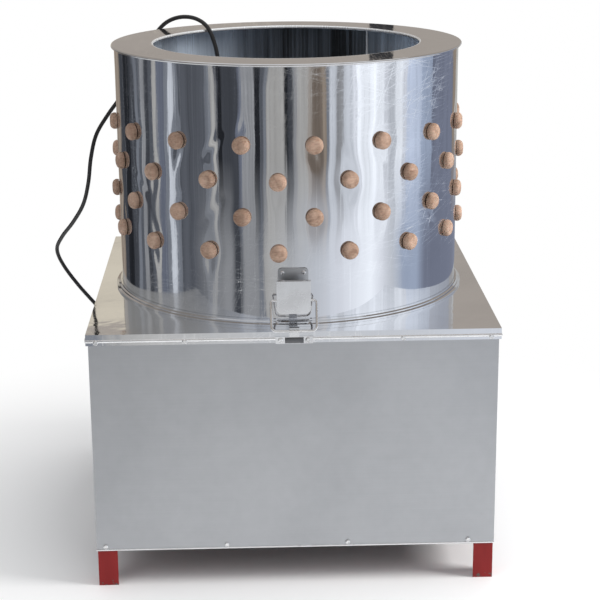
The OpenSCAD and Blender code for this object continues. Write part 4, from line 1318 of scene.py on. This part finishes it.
    def build(self) -> None:
        """Make the wall and its seam."""
        shell = Bench.start(
            bpy.ops.mesh.primitive_cylinder_add, "drum_wall", vertices=self.sides,
            radius=self.radius, depth=self.high - self.low, end_fill_type="NOTHING",
            location=(0.0, 0.0, (self.low + self.high) / 2),
            rotation=(0.0, 0.0, math.radians(self.row_turn)),
        )
        Bench.pick(shell, Kind.EDGE, upright)
        bpy.ops.mesh.subdivide_edgering(number_cuts=self.cuts, interpolation="LINEAR")
        Bench.pick(shell, Kind.FACE, self._in_hole)
        bpy.ops.mesh.delete(type="FACE")
        Bench.clear()
        self._shape(shell)
        # The inner face's finish paints reflection and shade by bearing.
        for finish in (Finishes.POLISHED, Finishes.INSIDE):
            shell.data.materials.append(finish.value.material())
        Bench.modify(
            shell, "SOLIDIFY", thickness=self.wall, offset=-1.0, use_rim=True, material_offset=1
        )
        Bench.smooth(shell, angle=40.0)
        hand_over(shell, Finishes.POLISHED, "drum_shell")
        hand_over(self._seam(), Finishes.BEAD)

    def _in_hole(self, centre: Vector, way: Vector) -> bool:
        """Whether a face of the wall lies in a finger hole."""
        bearing, height = np.array([[math.atan2(centre.x, -centre.y)], [centre.z]])
        return bool(self._from_holes(bearing, height).min() < self.hole_radius)

    def _shape(self, shell: Piece) -> None:
        """Round the hole edges and draw the wall in.

        Args:
            shell: The open shell.
        """
        mesh, holes = shell.data, self.holes()
        uses: dict[tuple[int, int], int] = {}
        for face in mesh.polygons:
            for key in face.edge_keys:
                uses[key] = uses.get(key, 0) + 1
        places = np.array([v.co for v in mesh.vertices])
        bearing = np.arctan2(places[:, 0], -places[:, 1])
        height = places[:, 2].copy()
        inner = (height > self.low + self.end_margin) & (height < self.high - self.end_margin)
        edge = sorted({v for key, count in uses.items() if count == 1 for v in key if inner[v]})
        away = self._from_holes(bearing[edge], height[edge])
        nearest = away.argmin(1)
        grow = self.hole_radius / away.min(1)
        across = self._apart(bearing[edge], holes[nearest, 0])
        bearing[edge] = holes[nearest, 0] + across * grow
        height[edge] = holes[nearest, 1] + (height[edge] - holes[nearest, 1]) * grow
        radius = self.radius - self._sunk(bearing, height)
        moved = np.stack([radius * np.sin(bearing), -radius * np.cos(bearing), height], 1)
        mesh.vertices.foreach_set("co", moved.astype(np.float32).ravel())
        mesh.update()

    def _seam(self) -> Piece:
        """Lay the rippled weld bead along the wall's inner face.

        Returns:
            The bead.
        """
        bead = Bench.start(
            bpy.ops.mesh.primitive_cylinder_add, "drum_seam", vertices=12,
            radius=self.seam_width / 2, depth=self.high - self.low - self.end_margin,
            location=(0.0, 0.0, (self.low + self.high) / 2),
        )
        Bench.pick(bead, Kind.EDGE, upright)
        bpy.ops.mesh.subdivide_edgering(number_cuts=self.seam_cuts, interpolation="LINEAR")
        Bench.clear()
        places = np.array([v.co for v in bead.data.vertices])
        step = (places[:, 2] % self.seam_ripple) / self.seam_ripple
        full = 0.8 + 0.2 * np.sqrt(np.clip(1.0 - (2.0 * step - 1.0) ** 2, 0.0, 1.0))
        places[:, 0] *= full
        places[:, 1] *= full * self.seam_flat
        bead.data.vertices.foreach_set("co", places.astype(np.float32).ravel())
        turn = turn_about("Z", self.seam_turn)
        seat = self.wall * self.seam_walls_in - self.radius
        bead.data.transform(turn @ Matrix.Translation((0.0, seat, 0.0)))
        Bench.smooth(bead, angle=60.0)
        return bead


# Screws


@dataclass(frozen=True)
class ScrewRow:
    """Screws in line on faces of the cabinet, by the faces' turns from the front in degrees."""

    turns: tuple[float, ...]
    out: float
    height: float
    along: tuple[float, ...]
    spins: ClassVar[tuple[float, ...]] = (17.0, 52.0, 38.0, 71.0, 5.0, 63.0)

    def places(self) -> list[Matrix]:
        """Where the screws sit, pointing outwards.

        Returns:
            One matrix for each screw.
        """
        return [
            turn_about("Z", turn) @ Matrix.Translation((x, -self.out, self.height))
            @ turn_about("X", 90.0) @ turn_about("Z", self.spins[i % len(self.spins)] + turn)
            for turn in self.turns for i, x in enumerate(self.along)
        ]


@dataclass(frozen=True)
class ScrewSet:
    """Screws of one length that make one piece."""

    name: str
    shank: float
    rows: tuple[ScrewRow, ...]
    node: Optional[str] = None


@dataclass
class Screws:
    """The cross-recessed screws along the flange and along the panels' lower edge."""

    head_radius: float = 0.004
    head_height: float = 0.0024
    shank_radius: float = 0.002
    recess: float = 0.0046
    slot_width: float = 0.0011
    slot_depth: float = 0.0012
    faces: tuple[float, ...] = (0.0, 90.0, 180.0, 270.0)
    flange_face: float = 0.3101
    flange_shank: float = 0.0095
    flange_height: float = 0.3945
    flange_along: tuple[float, ...] = (-0.295, -0.163, 0.163, 0.295)
    catch_face: float = 0.3117
    catch_along: tuple[float, ...] = (-0.0205, 0.0205)
    panel_face: float = 0.3069
    panel_shank: float = 0.0063
    panel_height: float = 0.065
    panel_start: float = -0.293
    panel_pitch: float = 0.1865333
    panel_count: int = 4
    switch_face: float = 0.3099
    switch_shank: float = 0.0027
    switch_heights: tuple[float, ...] = (0.2075, 0.2425)
    switch_along: tuple[float, ...] = (-0.1405, -0.0595)

    def model(self, name: str, shank: float) -> Piece:
        """Model one screw at the origin, its head above the XY plane.

        Args:
            name: The model's name.
            shank: The shank's length.

        Returns:
            The screw.
        """
        screw = Bench.start(
            bpy.ops.mesh.primitive_cylinder_add, name, vertices=24, radius=self.head_radius,
            depth=self.head_height, location=(0.0, 0.0, self.head_height / 2),
        )
        Bench.pick(screw, Kind.FACE, lambda centre, way: way.z < -ALONG)
        bpy.ops.mesh.inset(thickness=self.head_radius - self.shank_radius)
        bpy.ops.mesh.extrude_region_move(TRANSFORM_OT_translate={"value": (0.0, 0.0, -shank)})
        Bench.bevel(screw, top_edge(self.head_height), offset=self.head_height * 0.75, segments=3)
        cutter = self._cross()
        Bench.modify(screw, "BOOLEAN", object=cutter, operation="DIFFERENCE", solver="EXACT")
        bpy.data.objects.remove(cutter)
        Bench.smooth(screw)
        return screw

    def _cross(self) -> Piece:
        """Make the cross that cuts the recess.

        Returns:
            The cutter.
        """
        cross = Bench.start(
            bpy.ops.mesh.primitive_cube_add, "recess_cutter", size=1.0,
            location=(0.0, 0.0, self.head_height),
            scale=(self.slot_width, self.slot_width, 2 * self.slot_depth),
        )
        half, reach = self.slot_width / 2, (self.recess - self.slot_width) / 2
        for way in (Vector((1, 0, 0)), Vector((-1, 0, 0)), Vector((0, 1, 0)), Vector((0, -1, 0))):
            Bench.pick(
                cross, Kind.FACE, lambda centre, normal: normal.dot(way) > ALONG
                and abs(centre.dot(way) - half) < Bench.near,
            )
            bpy.ops.mesh.extrude_region_move(TRANSFORM_OT_translate={"value": tuple(way * reach)})
        Bench.clear()
        return cross

    def sets(self) -> tuple[ScrewSet, ...]:
        """The sets of screws on the cabinet.

        Returns:
            Those of the flange, the panels and the switch.
        """
        along = tuple(self.panel_start + i * self.panel_pitch for i in range(self.panel_count))
        flange = (
            ScrewRow(self.faces, self.flange_face, self.flange_height, self.flange_along),
            ScrewRow((0.0,), self.catch_face, self.flange_height, self.catch_along),
        )
        panels = (ScrewRow(self.faces, self.panel_face, self.panel_height, along),)
        switch = tuple(
            ScrewRow((180.0,), self.switch_face, height, self.switch_along)
            for height in self.switch_heights
        )
        return (
            ScrewSet("flange_screw", self.flange_shank, flange, "flange_screws"),
            ScrewSet("panel_screw", self.panel_shank, panels, "panel_screws"),
            ScrewSet("switch_screw", self.switch_shank, switch),
        )

    def build(self) -> None:
        """Make every set of screws."""
        for group in self.sets():
            places = [place for row in group.rows for place in row.places()]
            screws = Bench.spread(self.model(group.name, group.shank), f"{group.name}_set", places)
            hand_over(screws, Finishes.ZINC, group.node)


# Small parts of the latch, the switch and the gland


@dataclass
class SmallParts:
    """Beads of the sheets, trim of the latch, collars of the buttons and ribs of the sleeve."""

    rivet_radius: float = 0.0032
    rivet_height: float = 0.0016
    rivet_places: tuple[Pair, ...] = ((-0.016, 0.4890), (0.016, 0.4890))
    rivet_seat: float = -0.2763
    ridge_size: Pair = (0.0017, 0.0025)
    ridge_at: Pair = (0.3094, 0.3966)
    hem_size: Pair = (0.0011, 0.0014)
    hem_at: Pair = (0.3066, 0.0596)
    mouth_radius: float = 0.215
    mouth_bead: float = 0.0023
    mouth_height: float = 0.7978
    backing_size: Point = (0.046, 0.0016, 0.030)
    backing_at: Point = (0.0, -0.2756, 0.481)
    backing_corner: float = 0.006
    strap_size: Point = (0.028, 0.0034, 0.0090)
    strap_at: Point = (0.0, -0.3116, 0.3942)
    button_radius: float = 0.011
    collar_width: float = 0.0026
    collar_height: float = 0.0024
    collar_gap: float = 0.0003
    collar_places: tuple[Point, ...] = ((0.080, 0.3099, 0.225), (0.120, 0.3099, 0.225))
    sleeve_at: Point = (-0.020, 0.3138, 0.140)
    sleeve_length: float = 0.0362
    sleeve_radii: Pair = (0.0080, 0.0045)
    rib_count: int = 6
    rib_width: float = 0.0030
    rib_height: float = 0.0009
    rib_root: float = 0.0015
    rib_span: Pair = (0.10, 0.80)

    def build(self) -> None:
        """Make all the small parts."""
        back, front = turn_about("X", -90.0), turn_about("X", 90.0)
        # The flange ridge and the panel hem are whitened: their pale finish is a painted highlight
        # line.
        hand_over(self._bead("flange_ridge", self.ridge_size, self.ridge_at), Finishes.RIDGE)
        hand_over(self._bead("panel_hem", self.hem_size, self.hem_at), Finishes.RIDGE)
        # The mouth bead's pale finish is a painted highlight line.
        hand_over(self._mouth(), Finishes.BEAD)
        # The catch strap is dark all over: a painted dark reflection.
        strap = self._block("catch_strap", self.strap_size, self.strap_at)
        strap = self._faced(strap, offset=self.strap_size[1] * 0.45, segments=4, angle=50.0)
        hand_over(strap, Finishes.STRAP_DARK_REFLECTION)
        backing = self._block("latch_backing", self.backing_size, self.backing_at)
        Bench.bevel(backing, lambda centre, way: abs(way.y) > ALONG, self.backing_corner, 5)
        backing = self._faced(backing, offset=self.backing_size[1] * 0.3, segments=2, angle=40.0)
        hand_over(backing, Finishes.SATIN)
        rivets = [Matrix.Translation((x, self.rivet_seat, z)) @ front for x, z in self.rivet_places]
        hand_over(Bench.spread(self._rivet(), "latch_rivets", rivets), Finishes.LATCH)
        collars = [Matrix.Translation(place) @ back for place in self.collar_places]
        inner = self.button_radius + self.collar_gap
        collar = self._ring("button_collar", inner, inner + self.collar_width, self.collar_height)
        hand_over(Bench.spread(collar, "button_collars", collars), Finishes.PLASTIC)
        hand_over(self._ribs(back), Finishes.PLASTIC)

    def _bead(self, name: str, size: Pair, at: Pair) -> Piece:
        """Roll a bead round the four sides of the cabinet, with mitred corners.

        Args:
            name: The bead's name.
            size: Half its thickness and half its height.
            at: Its distance from the axis and its height above the floor.

        Returns:
            The bead.
        """
        bead = Bench.start(bpy.ops.mesh.primitive_circle_add, name, vertices=16, radius=1.0)
        standing = turn_about("Z", 45.0) @ turn_about("X", 90.0)
        profile = Matrix.Diagonal((size[0] * math.sqrt(2.0), size[1], 1.0, 1.0))
        bead.data.transform(Matrix.Translation((at[0], at[0], at[1])) @ standing @ profile)
        return self._turned(bead, steps=4)

    def _mouth(self) -> Piece:
        """Turn a bead round the drum's mouth, its pale finish a painted highlight line.

        Returns:
            The bead.
        """
        bead = Bench.start(
            bpy.ops.mesh.primitive_circle_add, "mouth_bead", vertices=12, radius=self.mouth_bead,
            location=(self.mouth_radius, 0.0, self.mouth_height),
            rotation=(math.radians(90.0), 0.0, 0.0),
        )
        return self._turned(bead, steps=144)

    @staticmethod
    def _turned(profile: Piece, steps: int) -> Piece:
        """Carry a profile once round the upright axis.

        Args:
            profile: The closed profile. It becomes the piece.
            steps: The number of steps round.

        Returns:
            The closed ring.
        """
        Bench.pick(profile, Kind.VERTEX, lambda centre, way: True)
        bpy.ops.mesh.spin(
            steps=steps, angle=2.0 * math.pi, center=(0.0, 0.0, 0.0), axis=(0.0, 0.0, 1.0)
        )
        return Bench.done(profile, angle=40.0)

    @staticmethod
    def _block(name: str, size: Point, at: Point) -> Piece:
        """Start a flat plate as a block of a width, thickness and height round its middle."""
        return Bench.start(bpy.ops.mesh.primitive_cube_add, name, size=1.0, location=at, scale=size)

    @staticmethod
    def _faced(plate: Piece, offset: float, segments: int, angle: float) -> Piece:
        """Round the edges of a plate's front face and finish the plate.

        Args:
            plate: The plate, with its face to the front.
            offset: The width of the rounding.
            segments: Its number of steps.
            angle: Edges sharper than this many degrees stay sharp.

        Returns:
            The plate.
        """
        front = min(v.co.y for v in plate.data.vertices)
        Bench.bevel(plate, lambda centre, way: centre.y < front + SLACK, offset, segments)
        return Bench.done(plate, angle)

    def _rivet(self) -> Piece:
        """Model one domed rivet head standing on the XY plane.

        Returns:
            The rivet.
        """
        rivet = Bench.start(
            bpy.ops.mesh.primitive_cylinder_add, "rivet", vertices=24, radius=self.rivet_radius,
            depth=self.rivet_height, location=(0.0, 0.0, self.rivet_height / 2),
        )
        Bench.bevel(rivet, top_edge(self.rivet_height), offset=self.rivet_height * 0.9, segments=4)
        return Bench.done(rivet, angle=50.0)

    @staticmethod
    def _ring(name: str, inner: float, outer: float, height: float) -> Piece:
        """Model a ring with rounded edges standing on the XY plane.

        Args:
            name: The ring's name.
            inner: Its inner radius.
            outer: Its outer radius.
            height: Its height.

        Returns:
            The ring.
        """
        ring = Bench.start(
            bpy.ops.mesh.primitive_cylinder_add, name, vertices=48, radius=outer, depth=height,
            location=(0.0, 0.0, height / 2),
        )
        Bench.pick(ring, Kind.FACE, upright)
        bpy.ops.mesh.inset(thickness=outer - inner)
        bpy.ops.mesh.bridge_edge_loops()
        Bench.bevel(
            ring, lambda centre, way: abs(way.z) < ACROSS and centre.xy.length > outer * 0.97,
            offset=min(outer - inner, height) * 0.35, segments=3,
        )
        return Bench.done(ring, angle=40.0)

    def _ribs(self, turn: Matrix) -> Piece:
        """Set narrowing ribs along the lead's tapered sleeve.

        Args:
            turn: The turn from the Z axis to the sleeve's axis.

        Returns:
            The ribs.
        """
        base, tip = self.sleeve_radii
        rib = self._ring("sleeve_rib", base - self.rib_root, base + self.rib_height, self.rib_width)
        first, span = self.rib_span
        places = []
        for i in range(self.rib_count):
            along = self.sleeve_length * (first + span * i / (self.rib_count - 1))
            size = (base + (tip - base) * (along / self.sleeve_length)) / base
            seat = Vector(self.sleeve_at) + Vector((0.0, along - self.rib_width / 2, 0.0))
            places.append(Matrix.Translation(seat) @ turn @ Matrix.Diagonal((size, size, 1.0, 1.0)))
        return Bench.spread(rib, "sleeve_ribs", places)


# Which finish goes where


class Finishes(Enum):
    """The finishes of this machine."""

    POLISHED = PolishedSteel("polished_steel", "polished_steel")
    # Inside of the drum: reflection and shade painted into the colour by bearing.
    INSIDE = PaintedLightSteel("inside_painted_reflection_and_shade", "polished_steel")
    # Pale steel: ground metal on the weld seam, and a painted highlight line on the mouth bead.
    BEAD = PaintedLightSteel("ground_bead_and_painted_highlight", "polished_steel", (0.90, 0.92, 0.94), (0.66, 0.68, 0.70), 0.0)
    RIM = PolishedSteel("polished_rim", "polished_steel", roughness=0.03, smear=0.06, worn_from=0.9)
    # Near-white steel whose pale colour paints the highlight line on the flange ridge and the panel
    # hem.
    RIDGE = Machined(
        "ridge_painted_highlight", "polished_steel", (0.93, 0.935, 0.945), (0.80, 0.805, 0.815), 0.16
    )
    PLATE = PolishedSteel(
        "polished_plate", "polished_steel", (0.80, 0.805, 0.82), (0.66, 0.665, 0.68),
        roughness=0.045, smear=0.09, worn_from=0.2, wave=0.75,
    )
    DISC = PolishedSteel("turned_disc", "machined_steel", roughness=0.22, smear=0.14)
    SATIN = BrushedSteel("satin_steel", "satin_steel")
    RED = Paint("red_paint", "red_paint")
    RUBBER = Rubber("finger_rubber", "finger_rubber")
    MACHINED = Machined("machined_steel", "machined_steel")
    CAST = Cast("cast_grey", "cast_grey")
    ZINC = Machined(
        "zinc_fasteners", "zinc_fasteners", (0.88, 0.885, 0.89), (0.70, 0.705, 0.71), 0.20
    )
    LATCH = Machined("latch_steel", "latch_steel", (0.84, 0.845, 0.855), (0.66, 0.665, 0.68), 0.16)
    # Dark steel on the catch strap, a painted dark reflection.
    STRAP_DARK_REFLECTION = Machined("strap_painted_dark_reflection", "latch_steel", (0.16, 0.163, 0.17), (0.07, 0.072, 0.08), 0.20)
    PAN = Spangled("pan_steel", "pan_steel")
    MOTOR = Cast(
        "motor_paint", "motor_paint", (0.045, 0.10, 0.145), (0.10, 0.13, 0.15), 0.42,
        metallic=0.0, grain=300.0,
    )
    BELT = Moulded(
        "belt_rubber", "belt_rubber", (0.022, 0.021, 0.020), (0.055, 0.053, 0.05), 0.62,
        grain=500.0,
    )
    PLASTIC = Moulded("black_plastic", "black_plastic")
    CORD = Moulded(
        "cord_black", "cord_black", (0.010, 0.010, 0.011), (0.028, 0.028, 0.030), 0.42,
        grain=700.0,
    )
    GREEN = Moulded(
        "green_plastic", "green_plastic", (0.028, 0.22, 0.045), (0.05, 0.28, 0.07), 0.30,
        grain=800.0,
    )
    STOP_RED = Moulded(
        "red_plastic", "red_plastic", (0.50, 0.022, 0.020), (0.56, 0.05, 0.045), 0.30,
        grain=800.0,
    )


@dataclass
class Dresser:
    """Puts a finish on every node that shows."""

    wear: dict[Finishes, tuple[str, ...]] = field(default_factory=lambda: {
        Finishes.RED: (
            "post_front_left", "post_front_right", "post_rear_left", "post_rear_right", "top_rails",
            "bottom_rails", "side_rails", "spindle_beams", "motor_rails", "motor_plate",
        ),
        Finishes.SATIN: ("front_panel", "rear_panel", "left_panel", "right_panel"),
        Finishes.PLATE: ("top_plate",),
        Finishes.DISC: ("turntable_disc",),
        Finishes.RIM: ("drum_rim",),
        Finishes.POLISHED: ("drum_shell", "drum_foot_ring"),
        Finishes.RUBBER: (
            "wall_fingers_row_1", "wall_fingers_row_2", "wall_fingers_row_3", "wall_fingers_row_4",
            "turntable_fingers_outer", "turntable_fingers_inner",
        ),
        Finishes.MACHINED: (
            "main_shaft", "motor_rotor", "bearing_outer_rings", "bearing_inner_rings",
            "bearing_balls",
        ),
        Finishes.CAST: ("turntable_hub", "spindle_housing", "driven_pulley", "drive_pulley"),
        Finishes.ZINC: (
            "hub_bolts", "cap_nut", "frame_bolts", "drum_clips", "flange_screws", "panel_screws",
        ),
        Finishes.LATCH: ("latch_base", "latch_pin", "latch_lever", "latch_bail", "latch_catch"),
        Finishes.PAN: ("feather_pan_wall", "feather_pan_floor", "feather_chute"),
        Finishes.MOTOR: ("motor_body", "motor_end_bells", "motor_fan_cover", "motor_terminal_box"),
        Finishes.BELT: ("drive_belt",),
        Finishes.PLASTIC: ("motor_fan", "switch_box", "cord_gland", "plug"),
        Finishes.CORD: ("power_cord",),
        Finishes.GREEN: ("start_button",),
        Finishes.STOP_RED: ("stop_button",),
    })

    def build(self) -> None:
        """Dress every node, and say which has no finish."""
        done = set()
        for finish, names in self.wear.items():
            for name in names:
                finish.value.dress(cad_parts[name])
                done.add(name)
        left = sorted(set(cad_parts) - done)
        LOG.info("finishes: %d nodes dressed, without one: %s", len(done), left)


def main() -> None:
    """Build everything in order."""
    logging.basicConfig(level=logging.INFO, format="%(name)s: %(message)s")
    studio = Studio()
    studio.camera()
    Lead().build()
    studio.build()
    Dresser().build()
    Drum().build()
    Screws().build()
    SmallParts().build()
    Bench.clear()


if __name__ == "__main__":
    main()
